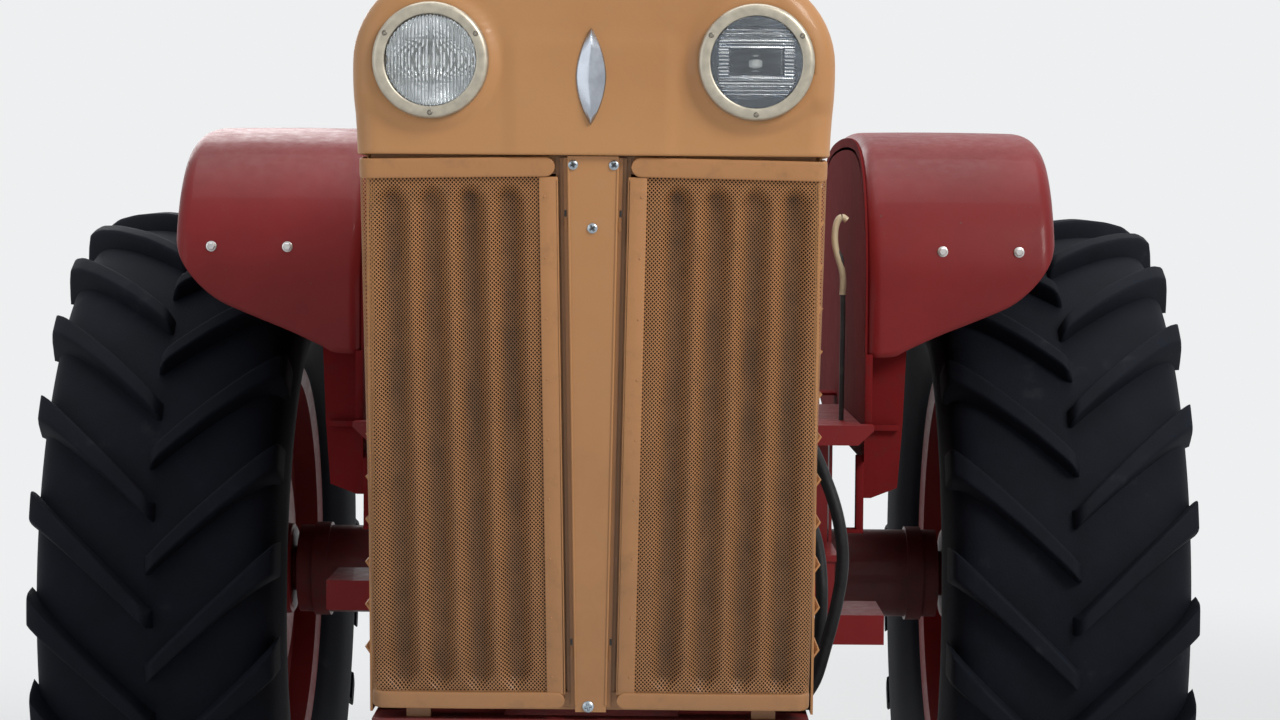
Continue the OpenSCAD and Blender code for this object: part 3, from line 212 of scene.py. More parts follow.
# %% Nodes that most finishes share
def grain(tree, add, scale, detail=4.0, rough=0.55, stretch=None):
    """Noise in the object's own space: coarse colour patches or fine bumps, by its scale."""
    coords = add("ShaderNodeTexCoord")
    noise = add("ShaderNodeTexNoise", Scale=scale, Detail=detail, Roughness=rough)
    source = coords.outputs["Object"]
    if stretch:
        mapping = add("ShaderNodeMapping", Scale=stretch)
        tree.links.new(source, mapping.inputs["Vector"])
        source = mapping.outputs["Vector"]
    tree.links.new(source, noise.inputs["Vector"])
    return noise


def ramp(tree, add, source, stops):
    """Colours along a 0 to 1 value: stops are (position, colour)."""
    node = add("ShaderNodeValToRGB")
    marks = node.color_ramp.elements
    for mark, (place, color) in zip(marks, (stops[0], stops[-1])):
        mark.position, mark.color = place, (*color, 1)
    for place, color in stops[1:-1]:
        marks.new(place).color = (*color, 1)
    tree.links.new(source, node.inputs["Fac"])
    return node


def scaled(color, by):
    """A colour with each of its parts times a number."""
    return tuple(by * c for c in color)


def blend_colors(tree, add, amount, first, second):
    """The first colour where the amount is 0, the second where it is 1."""
    mix = add("ShaderNodeMix", data_type="RGBA")
    tree.links.new(amount, mix.inputs["Factor"])
    tree.links.new(first, mix.inputs[6])
    if isinstance(second, tuple):
        mix.inputs[7].default_value = (*second, 1)
    else:
        tree.links.new(second, mix.inputs[7])
    return mix.outputs[2]


def bump(tree, add, shader, sources, strength, distance):
    """Adds heights together and turns them into a bumped normal."""
    total = sources[0]
    for more in sources[1:]:
        total = combined(tree, "ADD", total, more)
    node = add("ShaderNodeBump", Strength=strength, Distance=distance)
    tree.links.new(total, node.inputs["Height"])
    tree.links.new(node.outputs["Normal"], shader.inputs["Normal"])


# %% Enamel, rubber and metal
def enamel(name, color, dark, dust, rough, coat, peel=0.12, dusty=0.5, chips=None, low_darkening=None, hollow_shade=None,
           shine=0.5):
    """Sprayed enamel: broad tone patches, dust in noise lows, chips to the primer, orange peel.
    The tuple for low down is (height where it starts, height where it is full, colour): a colour that grows
    towards the ground.
    The colour given for the hollows is painted shade, laid where the piece's own attribute for the hollows is
    high."""
    mat, tree, shader, add = new_material(name)
    broad = grain(tree, add, 2.2, 5.0)
    tone = ramp(tree, add, broad.outputs["Fac"], [(0.30, dark), (0.55, color), (0.8, color)]).outputs["Color"]
    fine = grain(tree, add, 38.0, 8.0, 0.7)
    speck = ramp(tree, add, fine.outputs["Fac"], [(0.52, (0, 0, 0)), (0.78, (dusty, dusty, dusty))])
    tone = blend_colors(tree, add, speck.outputs["Color"], tone, dust)
    # darker towards the ground, in cloudy patches
    if low_darkening:
        high, low, low_color = low_darkening
        coords = add("ShaderNodeTexCoord")
        apart = add("ShaderNodeSeparateXYZ")
        tree.links.new(coords.outputs["Object"], apart.inputs[0])
        fall = add("ShaderNodeMapRange")
        for key, value in (("From Min", high), ("From Max", low), ("To Min", 0.0), ("To Max", 0.6)):
            fall.inputs[key].default_value = value
        tree.links.new(apart.outputs["Z"], fall.inputs["Value"])
        cloud = grain(tree, add, 9.0, 6.0, 0.7).outputs["Fac"]
        tone = blend_colors(tree, add, combined(tree, "MULTIPLY", fall.outputs[0], cloud), tone, low_color)
    # painted shade: where the piece's attribute is high, the tone goes towards a dark colour in cloudy
    # patches
    if hollow_shade:
        shade_share = add("ShaderNodeAttribute", attribute_name="hollow_shade").outputs["Fac"]
        patches = grain(tree, add, 16.0, 6.0, 0.7).outputs["Fac"]
        cloud = ramp(tree, add, patches, [(0.25, (0.35,) * 3), (0.65, (1,) * 3)]).outputs["Color"]
        tone = blend_colors(tree, add, combined(tree, "MULTIPLY", shade_share, cloud), tone, hollow_shade)
    if chips:
        bare = grain(tree, add, 130.0, 3.0, 0.5)
        spot = ramp(tree, add, bare.outputs["Fac"], [(0.735, (0, 0, 0)), (0.75, (1, 1, 1))])
        tone = blend_colors(tree, add, spot.outputs["Color"], tone, chips)
    tree.links.new(tone, shader.inputs["Base Color"])
    matt = ramp(tree, add, fine.outputs["Fac"], [(0.35, (rough,) * 3), (0.8, (min(1, rough + 0.25),) * 3)])
    tree.links.new(matt.outputs["Color"], shader.inputs["Roughness"])
    shader.inputs["Coat Weight"].default_value = coat
    shader.inputs["Coat Roughness"].default_value = 0.08
    shader.inputs["Specular IOR Level"].default_value = shine
    wave = grain(tree, add, 14.0, 2.0)
    pores = grain(tree, add, 420.0, 2.0)
    bump(tree, add, shader, [wave.outputs["Fac"], pores.outputs["Fac"]], peel, 0.0012)
    return mat


def rubber(name, color, dust, scale, rough=0.78):
    """Tyre rubber: dark, matt, dusty where the noise is high."""
    mat, tree, shader, add = new_material(name)
    cloud = grain(tree, add, scale, 7.0, 0.65)
    tone = ramp(tree, add, cloud.outputs["Fac"], [(0.38, color), (0.62, scaled(color, 1.5)), (0.85, dust)])
    tree.links.new(tone.outputs["Color"], shader.inputs["Base Color"])
    shader.inputs["Roughness"].default_value = rough
    shader.inputs["Specular IOR Level"].default_value = 0.16
    fine = grain(tree, add, 260.0, 6.0)
    bump(tree, add, shader, [cloud.outputs["Fac"], fine.outputs["Fac"]], 0.35, 0.002)
    return mat


def metal(name, color, rough, wear=0.15, scale=60.0, metallic=1.0):
    """Bare or plated metal with a cloudy roughness."""
    mat, tree, shader, add = new_material(name)
    cloud = grain(tree, add, scale, 6.0, 0.6)
    tone = ramp(tree, add, cloud.outputs["Fac"], [(0.3, scaled(color, 0.75)), (0.7, color)])
    tree.links.new(tone.outputs["Color"], shader.inputs["Base Color"])
    matt = ramp(tree, add, cloud.outputs["Fac"], [(0.3, (rough,) * 3), (0.8, (min(1, rough + wear),) * 3)])
    tree.links.new(matt.outputs["Color"], shader.inputs["Roughness"])
    shader.inputs["Metallic"].default_value = metallic
    bump(tree, add, shader, [cloud.outputs["Fac"]], 0.1, 0.001)
    return mat


red_dust, sand_dust = (0.12, 0.035, 0.032), (0.36, 0.24, 0.13)
red_enamel = enamel("red_enamel", (0.195, 0.013, 0.014), (0.14, 0.009, 0.010), red_dust, 0.36, 0.08,
                    dusty=0.22, chips=(0.09, 0.06, 0.05), shine=0.18)
inner_red = enamel("inner_red", (0.16, 0.012, 0.013), (0.11, 0.009, 0.010), (0.07, 0.030, 0.028), 0.75, 0.0,
                   peel=0.2, dusty=0.5, shine=0.03)
# Under the machine: oil grime and painted shade, a dark colour that grows towards the ground.
grimy_shaded_red = enamel("grimy_shaded_red", (0.17, 0.014, 0.015), (0.09, 0.012, 0.012), (0.045, 0.035, 0.034), 0.42, 0.08,
                  peel=0.25, dusty=0.85, low_darkening=(1.25, 0.45, (0.062, 0.050, 0.044)), shine=0.35)
sand_enamel = enamel("sand_enamel", (0.46, 0.224, 0.086), (0.41, 0.192, 0.071), sand_dust, 0.40, 0.14,
                     peel=0.10, dusty=0.22, shine=0.35)
# The post darkens towards its foot.
post_enamel = enamel("post_enamel", (0.43, 0.200, 0.069), (0.38, 0.170, 0.058), sand_dust, 0.40, 0.22,
                     peel=0.10, dusty=0.22, low_darkening=(1.62, 1.00, (0.11, 0.045, 0.015)))
# The grille sheet: dirt that grows towards the ground, and painted shade in the floors of its grooves.
grille_enamel = enamel("grille_enamel", (0.40, 0.184, 0.066), (0.32, 0.148, 0.054), (0.21, 0.115, 0.054),
                       0.55, 0.10, peel=0.14, dusty=0.55, low_darkening=(1.50, 0.95, (0.16, 0.092, 0.050)),
                       hollow_shade=(0.150, 0.072, 0.028))
# Near-black for the radiator core, and as painted shade on the strips behind the grille.
core_and_shade_black = enamel("core_and_shade_black", (0.030, 0.018, 0.010), (0.020, 0.012, 0.007), (0.07, 0.045, 0.027), 0.85, 0.0,
                   peel=0.3, dusty=0.4, shine=0.03)
black_enamel = enamel("black_enamel", (0.025, 0.025, 0.026), (0.018, 0.018, 0.018), (0.12, 0.11, 0.09),
                      0.45, 0.2)
cast_grey = metal("cast_grey", (0.16, 0.15, 0.14), 0.55, 0.3, 40.0, 0.6)
burnt_black = enamel("burnt_black", (0.020, 0.019, 0.019), (0.030, 0.018, 0.012), (0.13, 0.05, 0.022),
                     0.62, 0.0, peel=0.35, dusty=0.8, shine=0.2)
bright_steel = metal("bright_steel", (0.62, 0.61, 0.60), 0.28)
bezel_nickel = metal("bezel_nickel", (0.52, 0.475, 0.385), 0.34, 0.2, 90.0, 0.8)
dull_steel = metal("dull_steel", (0.22, 0.20, 0.17), 0.45, 0.2, 90.0)
chrome_plate = metal("chrome_plate", (0.82, 0.82, 0.83), 0.07, 0.12)
old_chrome = metal("old_chrome", (0.44, 0.47, 0.52), 0.10, 0.25, 45.0)
tyre_rubber = rubber("tyre_rubber", (0.0030, 0.0042, 0.0078), (0.026, 0.028, 0.032), 9.0)
hose_rubber = rubber("hose_rubber", (0.010, 0.010, 0.011), (0.04, 0.037, 0.033), 30.0, 0.5)
wheel_gloss = enamel("wheel_gloss", (0.015, 0.015, 0.016), (0.010, 0.010, 0.010), (0.07, 0.07, 0.06),
                     0.32, 0.25, peel=0.05, shine=0.3)
print("finishes:", len(bpy.data.materials))

# %% Dress the solids
finish_of_slot = {
    "red_paint": red_enamel, "sand_paint": sand_enamel, "black_paint": black_enamel,
    "cast_parts": cast_grey, "steel": bright_steel, "chrome": chrome_plate,
    "tyre_rubber": tyre_rubber, "hose_rubber": hose_rubber, "wheel_plastic": wheel_gloss,
}


def dress(ob, mat):
    """Puts one finish on every slot of a solid's object."""
    if not ob.material_slots:
        ob.data.materials.append(mat)
    for holder in ob.material_slots:
        holder.material = mat


for name, ob in nodes.items():
    if slot_of_node[name] in finish_of_slot:
        dress(ob, finish_of_slot[slot_of_node[name]])
dress(nodes["grille_post"], post_enamel)
for name in ("engine_block", "engine_head", "transmission_housing", "front_frame", "front_axle",
             "rear_axle_housing", "knuckle_left", "knuckle_right", "drawbar"):
    dress(nodes[name], grimy_shaded_red)
dress(nodes["exhaust"], burnt_black)
dress(nodes["radiator"], core_and_shade_black)
print("dressed", len(nodes))

# %% [markdown]
# ## Ways to make a surface
# A shape here is a pair: an array of points and a list of face arrays that count into it. Grids
# give most surfaces, a profile turned round an axis gives the round ones, and a rounded block
# gives the plates. Points are worked out as whole arrays from formulas, so a finer surface
# only needs more steps.

# %% Shapes as arrays
def grid_faces(rows, cols, ring_rows=False, ring_cols=False):
    """Quads between neighbouring points of a rows by cols grid; a ring joins the last to the first."""
    i, j = np.meshgrid(np.arange(rows - (not ring_rows)), np.arange(cols - (not ring_cols)), indexing="ij")
    i2, j2 = (i + 1) % rows, (j + 1) % cols
    return np.stack([i * cols + j, i * cols + j2, i2 * cols + j2, i2 * cols + j], -1).reshape(-1, 4)


def join(shapes):
    """Several shapes as one: each one's faces count on from the points before it."""
    points, faces, n = [], [], 0
    for p, f in shapes:
        points.append(p)
        faces += [a + n for a in f]
        n += len(p)
    return np.concatenate(points), faces


def surface(points, ring_rows=False, ring_cols=False):
    """A shape from a grid of points, an array of rows by columns by 3."""
    rows, cols = points.shape[:2]
    return points.reshape(-1, 3), [grid_faces(rows, cols, ring_rows, ring_cols)]


def around(rows, cols):
    """Numbers of the points round the border of a rows by cols grid, in order."""
    first, last = np.arange(cols), np.arange(rows * cols - 1, rows * cols - cols - 1, -1)
    return np.concatenate([first, np.arange(2, rows) * cols - 1, last, np.arange(rows - 2, 0, -1) * cols])


def capped(points):
    """A tube from rings of points, closed by one face at each end."""
    rows, cols = points.shape[:2]
    ends = [np.arange(cols)[None, ::-1], np.arange((rows - 1) * cols, rows * cols)[None]]
    return points.reshape(-1, 3), [grid_faces(rows, cols, ring_cols=True)] + ends


def curve(points, steps):
    """A smooth line through points: between each two, a cubic whose slope at a point is half the
    way from the point before it to the one after it."""
    p = np.asarray(points, float)
    q = np.concatenate([p[:1], p, p[-1:]])
    t = np.linspace(0, 1, steps, endpoint=False)[None, :, None]
    a, b, c, d = (q[k:len(q) - 3 + k, None] for k in range(4))
    line = 0.5 * (2 * b + (c - a) * t + (2 * a - 5 * b + 4 * c - d) * t**2 + (3 * b - a - 3 * c + d) * t**3)
    return np.concatenate([line.reshape(-1, p.shape[1]), p[-1:]])


def frame_of(axis):
    """Two directions across an axis, and the axis itself, all of length one."""
    w = np.asarray(axis, float) / np.linalg.norm(axis)
    u = np.cross([0, 0, 1.0] if abs(w[2]) < 0.9 else [0, 1.0, 0], w)
    u /= np.linalg.norm(u)
    return u, np.cross(w, u), w


def full_turn(steps):
    """Even angles once round, without the last one, which is the first again."""
    return np.linspace(0, 2 * np.pi, steps, endpoint=False)


def circles(u, v, segments):
    """A circle of radius one for each pair of directions, in the plane of the two."""
    a = full_turn(segments)[None, :, None]
    return np.cos(a) * u[:, None] + np.sin(a) * v[:, None]


def turned(profile, centre, axis, segments=64):
    """A profile of (radius, height) turned round an axis: radius times a circle plus height along it."""
    prof = np.asarray(profile, float)[:, None]
    u, v, w = frame_of(axis)
    rings = prof[..., :1] * circles(u[None], v[None], segments) + prof[..., 1:] * w
    return capped(np.asarray(centre) + rings)


def turned_ring(profile, centre, axis, segments=64):
    """A closed profile turned round an axis, like a tyre."""
    points = turned(profile, centre, axis, segments)[0]
    return points, [grid_faces(len(profile), segments, True, True)]


def block(low, high, r, steps=2):
    """A box with rounded edges: each octant of a ball of radius r, pushed out to its own corner."""
    low, high = np.asarray(low, float), np.asarray(high, float)
    mid, half = (low + high) / 2, (high - low) / 2 - r
    quarter = np.linspace(0, np.pi / 2, steps + 1)
    bend = np.concatenate([q * np.pi / 2 + quarter for q in range(4)])
    side = np.repeat(np.arange(4) * np.pi / 2 + np.pi / 4, steps + 1)
    up = np.concatenate([quarter - np.pi / 2, quarter])
    level = np.repeat([-1, 1], steps + 1)
    points = np.stack(np.broadcast_arrays(
        np.sign(np.cos(side))[None] * half[0] + r * np.cos(up)[:, None] * np.cos(bend)[None],
        np.sign(np.sin(side))[None] * half[1] + r * np.cos(up)[:, None] * np.sin(bend)[None],
        level[:, None] * half[2] + r * np.sin(up)[:, None]), -1)
    return capped(points + mid)


def tube(line, r, segments=16):
    """A round bar along a line of points: circles in the plane across the line's direction."""
    p = np.asarray(line, float)
    d = np.gradient(p, axis=0)
    d /= np.linalg.norm(d, axis=1, keepdims=True)
    up = np.array([1.0, 0, 0]) if abs(d[:, 0]).mean() < 0.8 else np.array([0, 1.0, 0])
    u = np.cross(up, d)
    u /= np.linalg.norm(u, axis=1, keepdims=True)
    return capped(p[:, None] + r * circles(u, np.cross(d, u), segments))


def kept(points, faces):
    """The shape without the points that no face uses."""
    used = np.unique(faces)
    number = np.zeros(len(points), int)
    number[used] = np.arange(len(used))
    return points[used], [number[faces]]


def mirrored(shape):
    """The same shape on the other side of the tractor's middle, with its faces turned back out."""
    points, faces = shape
    return points * np.array([-1.0, 1, 1]), [a[:, ::-1] for a in faces]


def both_sides(shape):
    """A shape and its mirror image as one."""
    return join([shape, mirrored(shape)])


def sided(shape, side):
    """The shape as it is for side 1, on the left, and mirrored for side -1."""
    return shape if side > 0 else mirrored(shape)


def smoothstep(t):
    """0 below 0, 1 above 1, and an even S between them."""
    t = np.clip(t, 0, 1)
    return t * t * (3 - 2 * t)


def signed_power(v, power):
    """|v| to a power, with v's own sign. A power below 1 draws a circle out to a soft square."""
    return np.sign(v) * np.abs(v)**power


def spun(u, w, angle):
    """A pair of coordinates turned by an angle in their plane."""
    return u * math.cos(angle) - w * math.sin(angle), u * math.sin(angle) + w * math.cos(angle)


def way_along(line):
    """Distance along a line of points, at each of them."""
    return np.concatenate([[0], np.cumsum(np.linalg.norm(np.diff(line, axis=0), axis=1))])


made = {}
sides = ((1, "left"), (-1, "right"))


def piece(name, shape, body, finish, replaces=(), crease=38, closed=True, hollow_shade=None):
    """An object from a shape: smooth but for edges sharper than the crease angle, riding on a body.
    A closed shape's faces are turned outwards; an open one keeps the way it was made. Its last argument is a
    value from 0 to 1 for each point, the share of painted shade, for finishes that darken the lows with it."""
    points, faces = shape
    mesh = bpy.data.meshes.new(name)
    mesh.from_pydata(points.tolist(), [], [q for a in faces for q in a.tolist()])
    if hollow_shade is not None:
        shade_share = mesh.attributes.new("hollow_shade", "FLOAT", "POINT")
        shade_share.data.foreach_set("value", np.asarray(hollow_shade, np.float32))
    bm = bmesh.new()
    bm.from_mesh(mesh)
    bmesh.ops.remove_doubles(bm, verts=bm.verts, dist=1e-6)
    bmesh.ops.dissolve_degenerate(bm, edges=bm.edges, dist=1e-7)
    if closed:
        bmesh.ops.recalc_face_normals(bm, faces=bm.faces)
    bm.to_mesh(mesh)
    bm.free()
    mesh.shade_smooth()
    mesh.set_sharp_from_angle(angle=math.radians(crease))
    ob = bpy.data.objects.new(name, mesh)
    bpy.context.scene.collection.objects.link(ob)
    mesh.materials.append(finish)
    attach(ob, body)
    if replaces:
        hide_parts(*replaces)
    made[name] = len(mesh.polygons)
    return ob


def walled(ob, thickness):
    """Gives an open sheet its thickness, inwards from the surface that shows."""
    solidify = ob.modifiers.new("wall", "SOLIDIFY")
    solidify.thickness = thickness
    solidify.offset = -1
    solidify.use_even_offset = False

# %% [markdown]
# ## Grille panels
# Each panel is one sheet of perforated steel pressed into four wide grooves, whose ends fade into
# a scallop, and wrapped round the outer edge. Drawing the holes with a texture would leave the
# sheet solid in every other light, so they are cut: the holes stand in a staggered lattice, and
# each one is a diamond of four points. Three quads for a hole, one knuckle to its right and two
# strands down to its neighbours, make the whole web, and the lattice is then laid on the pressed
# surface, as the press did with the flat sheet.

# %% The pressed surface of a panel
rake, lean = math.radians(5), math.radians(1)
grille_y = nose_y + 0.006
hinge_x, hinge_deep, hinge_feet = 0.050, 0.009, (-0.097, -0.625)
pin_r, knuckle_r, knuckle_low, knuckle_high = 0.00295, 0.0055, 0.0165, 0.0315
panel_in, panel_out = 0.043, 0.283
panel_foot = -0.666
groove_first, groove_last, grooves, groove_depth = 0.080, 0.268, 4, 0.013
wrap_r, wrap_back = 0.012, 0.038


def to_leaf(points, side):
    """Panel coordinates to places: x from the middle, y behind the face, z below the grille's top.
    The panel leans about its hinge, then both rake back with the grille, then mirror to the side."""
    x, y, z = np.moveaxis(points, -1, 0)
    x2 = hinge_x + (x - hinge_x) * math.cos(lean) + z * math.sin(lean)
    z2 = z * math.cos(lean) - (x - hinge_x) * math.sin(lean)
    y3 = y * math.cos(rake) - z2 * math.sin(rake)
    z3 = y * math.sin(rake) + z2 * math.cos(rake)
    return np.stack([side * x2, grille_y + y3, grille_top + z3], -1)


def across(s, off=0.0):
    """A point of the panel's section, s along it from the middle and off in front of it: straight
    to the outer edge, round a quarter circle and straight back."""
    flat_end = panel_out - wrap_r
    a = np.clip((s - flat_end) / wrap_r, 0, np.pi / 2)
    back = np.maximum(s - flat_end - wrap_r * np.pi / 2, 0)
    x = np.minimum(s, flat_end) + (wrap_r + off) * np.sin(a)
    y = 0.002 + wrap_r - (wrap_r + off) * np.cos(a) + back
    return x, y


def groove(s, z):
    """Share of the groove's depth: 0 on a narrow ridge and 1 over the wide floor, fading at both
    ends along a curve that bulges in the groove's middle."""
    width = (groove_last - groove_first) / grooves
    ridge = np.abs(np.cos(np.pi * (s - groove_first) / width))
    inside = (s > groove_first) & (s < groove_last)
    ends = np.minimum(-0.030 - z, z - panel_foot)
    fade = smoothstep((ends - 0.011 * ridge**2) / 0.020)
    return np.where(inside, (1 - ridge**3) * fade, 0)


def dents(s, z, places):
    """Small round dents, each (s, z, radius, depth): depth times a bell of the distance."""
    return sum(d * np.exp(-((s - a)**2 + (z - b)**2) / r**2) for a, b, r, d in places)


def pressed(s, z, places):
    """The sheet's own surface at a distance along the section and a height."""
    x, y = across(s)
    y = y + groove_depth * groove(s, z) + dents(s, z, places) * (s < panel_out)
    y = y + 0.0007 * np.sin(9 * s / 0.1 + 3) * np.sin(z / 0.045)
    return np.stack(np.broadcast_arrays(x, y, z), -1)


# %% The web of holes
def web(low, high, pitch, half):
    """Points and quads of a flat web between two corners. Holes stand on alternating rows half a
    pitch apart; each has points right, above, left and below its middle, half a diamond out."""
    cols = int((high[0] - low[0]) / pitch[0])
    rows = int((high[1] - low[1]) / (pitch[1] / 2))
    j, i = np.meshgrid(np.arange(rows), np.arange(cols), indexing="ij")
    middle = np.stack([low[0] + (i + 0.5 * (j % 2)) * pitch[0], high[1] - j * pitch[1] / 2], -1)
    reach = np.array([[1, 0], [0, 1], [-1, 0], [0, -1]]) * np.array(half)
    points = (middle[:, :, None] + reach).reshape(-1, 2)
    right, above, left, below = range(4)
    odd = j % 2

    def corner(row, col, k):
        return 4 * (row * cols + col) + k

    def holes(here):
        return j[here], i[here], odd[here]

    row, col, step = holes((j > 0) & (j < rows - 1) & (i < cols - 1))
    knuckle = np.stack([corner(row, col, right), corner(row - 1, col + step, below),
                        corner(row, col + 1, left), corner(row + 1, col + step, above)], -1)
    row, col, step = holes((j < rows - 1) & (i + odd < cols))
    strand_right = np.stack([corner(row, col, below), corner(row, col, right),
                             corner(row + 1, col + step, above), corner(row + 1, col + step, left)], -1)
    row, col, step = holes((j < rows - 1) & (i + odd >= 1))
    next_col = col + step - 1
    strand_left = np.stack([corner(row, col, left), corner(row, col, below),
                            corner(row + 1, next_col, right), corner(row + 1, next_col, above)], -1)
    return points, np.concatenate([knuckle, strand_right, strand_left])


pitch = (0.0046, 0.0049)
panel_dents = {1: [(0.245, -0.50, 0.030, 0.003)],
               -1: [(0.262, -0.628, 0.026, 0.007), (0.20, -0.652, 0.030, 0.005), (0.11, -0.31, 0.035, 0.003)]}
section_end = panel_out - wrap_r + wrap_r * np.pi / 2 + wrap_back - wrap_r
hole_half = (0.325 * pitch[0], 0.335 * pitch[1])
flat_web, web_quads = web((0.060, panel_foot - 0.008), (section_end, -0.022), pitch, hole_half)
print("holes in a panel:", len(flat_web) // 4, "faces:", len(web_quads))


# %% Rails, stile and hinge of a panel
def rail(z, half, start, lift=0.0):
    """A rounded bar along the panel's section: its outline is a box of half height and 3.5 mm half
    depth with soft corners, and it shrinks to a point over a half circle at its inner end. Round the
    panel's edge it moves from front_off to side_off."""
    front_off, side_off, soft = 0.0015, -0.0030, 0.42
    s = np.concatenate([start + half * (1 - np.cos(np.linspace(0, np.pi / 2, 9))),
                        np.linspace(start + half + 0.004, panel_out - wrap_r, 24),
                        np.linspace(panel_out - wrap_r, section_end, 16)[1:]])
    end_round = np.sqrt(np.clip(1 - (1 - (s - start) / half)**2, 0.0004, 1))
    grow = np.where(s < start + half, end_round, 1)
    a = full_turn(28)
    round_share = np.clip((s - panel_out + wrap_r) / wrap_r, 0, 1)
    out = front_off + (side_off - front_off) * round_share
    off = out[:, None] + 0.0035 * signed_power(np.sin(a), soft)[None]
    x, y = across(s[:, None], off)
    straight = s[:, None] < panel_out - wrap_r
    y = np.where(straight, 0.002 - off, y)
    x = np.where(straight, s[:, None], x)
    rise = lift * (s[:, None] / panel_out)**2
    return capped(np.stack([x, y, z + rise + half * grow[:, None] * signed_power(np.cos(a), soft)[None]], -1))


def dome(x, y, z, r, high):
    """A low round head on the face, looking forwards."""
    t = np.linspace(0, np.pi / 2, 5)
    prof = np.stack([r * np.cos(t), high * np.sin(t)], -1)
    return turned(np.concatenate([[[r, -0.001]], prof[:-1], [[1e-5, high]]]), (x, y, z), (0, -1, 0), 16)


def grille_panel(side):
    """One panel: the web laid on the pressed sheet, its hem, stile, rails, rivets and hinge pins."""
    places = panel_dents[side]
    sheet = pressed(flat_web[:, 0], flat_web[:, 1], places), [web_quads]
    z_rows = np.linspace(panel_foot - 0.006, -0.026, 160)
    hem = np.stack([pressed(np.full_like(z_rows, section_end - d), z_rows, places) for d in (0.005, 0)], 1)
    stile = block((panel_in, -0.001, panel_foot - 0.002), (panel_in + 0.023, 0.0026, -0.026), 0.0012)
    inner_lip = block((panel_in, -0.001, panel_foot - 0.002), (panel_in + 0.0035, 0.008, -0.029), 0.001)
    rivets = [dome(panel_in + 0.0165, -0.001, z, 0.0017, 0.0008) for z in np.linspace(-0.05, -0.645, 9)]
    top_rail = rail(-0.0138, 0.0120, panel_in + 0.0035)
    foot_rail = rail(panel_foot - 0.0095, 0.0105, panel_in + 0.001, lift=0.004)
    parts = [sheet, surface(hem), stile, inner_lip, *rivets, top_rail, foot_rail]
    pin, knuckle = [(pin_r, -0.003), (pin_r, 0.033)], [(knuckle_r, knuckle_low), (knuckle_r, knuckle_high)]
    for foot in hinge_feet:
        parts += [turned(p, (hinge_x, hinge_deep, foot), (0, 0, 1), 24) for p in (pin, knuckle)]
        leaf_low = (hinge_x - 0.005, 0.001, foot + knuckle_low)
        leaf_high = (hinge_x + 0.005, 0.008, foot + knuckle_high)
        parts.append(block(leaf_low, leaf_high, 0.0008))
    points, faces = join(parts)
    shade_share = np.zeros(len(points))
    # painted shade in the groove floors: the square of the groove's share of its depth darkens the sheet
    # there
    shade_share[:len(flat_web)] = groove(flat_web[:, 0], flat_web[:, 1])**2
    return (to_leaf(points, side), faces), shade_share


for side, word in sides:
    name = "grille_panel_" + word
    shape, shade_share = grille_panel(side)
    piece("grille_sheet_" + word, shape, name, grille_enamel, (name,), crease=50, hollow_shade=shade_share)
print("grille panels:", made)

# %% Dark strips behind the grille, as painted shade
# A dark strip on each side closes the gap between the grille's edge and the radiator: painted shade, so that
# the outer holes show dark rather than the lit side screens behind them.
shade_strip = block((0.232, nose_y + 0.1225, 0.962), (0.279, nose_y + 0.126, 1.640), 0.001)
piece("grille_shade_strips", both_sides(shade_strip), "chassis", core_and_shade_black)

# %% [markdown]
# ## Nose
# The nose is a deep pressing: a nearly flat face whose edges roll back with a radius of 28 mm,
# soft raised rings round the lamps and a shallow plateau in the middle. The face is a grid
# whose rows end on the rolled edge's inner outline, so the roll and the walls can grow from that
# same row of points, each along its own outward direction. The sides flare a little upwards.

# %% The nose's face and its rolled edge
roll_r = 0.028
corner_r = 0.115
lip_r = 0.003
opening_r = 0.061


def from_lamp(x, z):
    """Distance to the middle of the nearer lamp, in the plane of the face."""
    return np.hypot(np.abs(x) - lamp_x, z - lamp_z)


def face_relief(x, z):
    """Height of the face ahead of its plane: a ring that falls off in an S round each lamp, a
    plateau with soft borders in the middle, and a slight crown across the whole width."""
    ring = pod_height * smoothstep((0.089 - from_lamp(x, z)) / 0.017)
    plateau = 0.0022 * smoothstep((0.108 - np.abs(x + 0.003)) / 0.022) * smoothstep((1.806 - z) / 0.022)
    return np.maximum(ring, plateau) - 0.0035 * (x / hood_half)**2


def rolled(points, normals, turn, radius):
    """Points carried round a quarter roll: out along their normals and back from the face."""
    out = radius * np.sin(turn)[:, None, None] * normals[None]
    back = radius * (1 - np.cos(turn))[:, None, None] * np.array([0, 1.0, 0])
    return points[None] + out + back


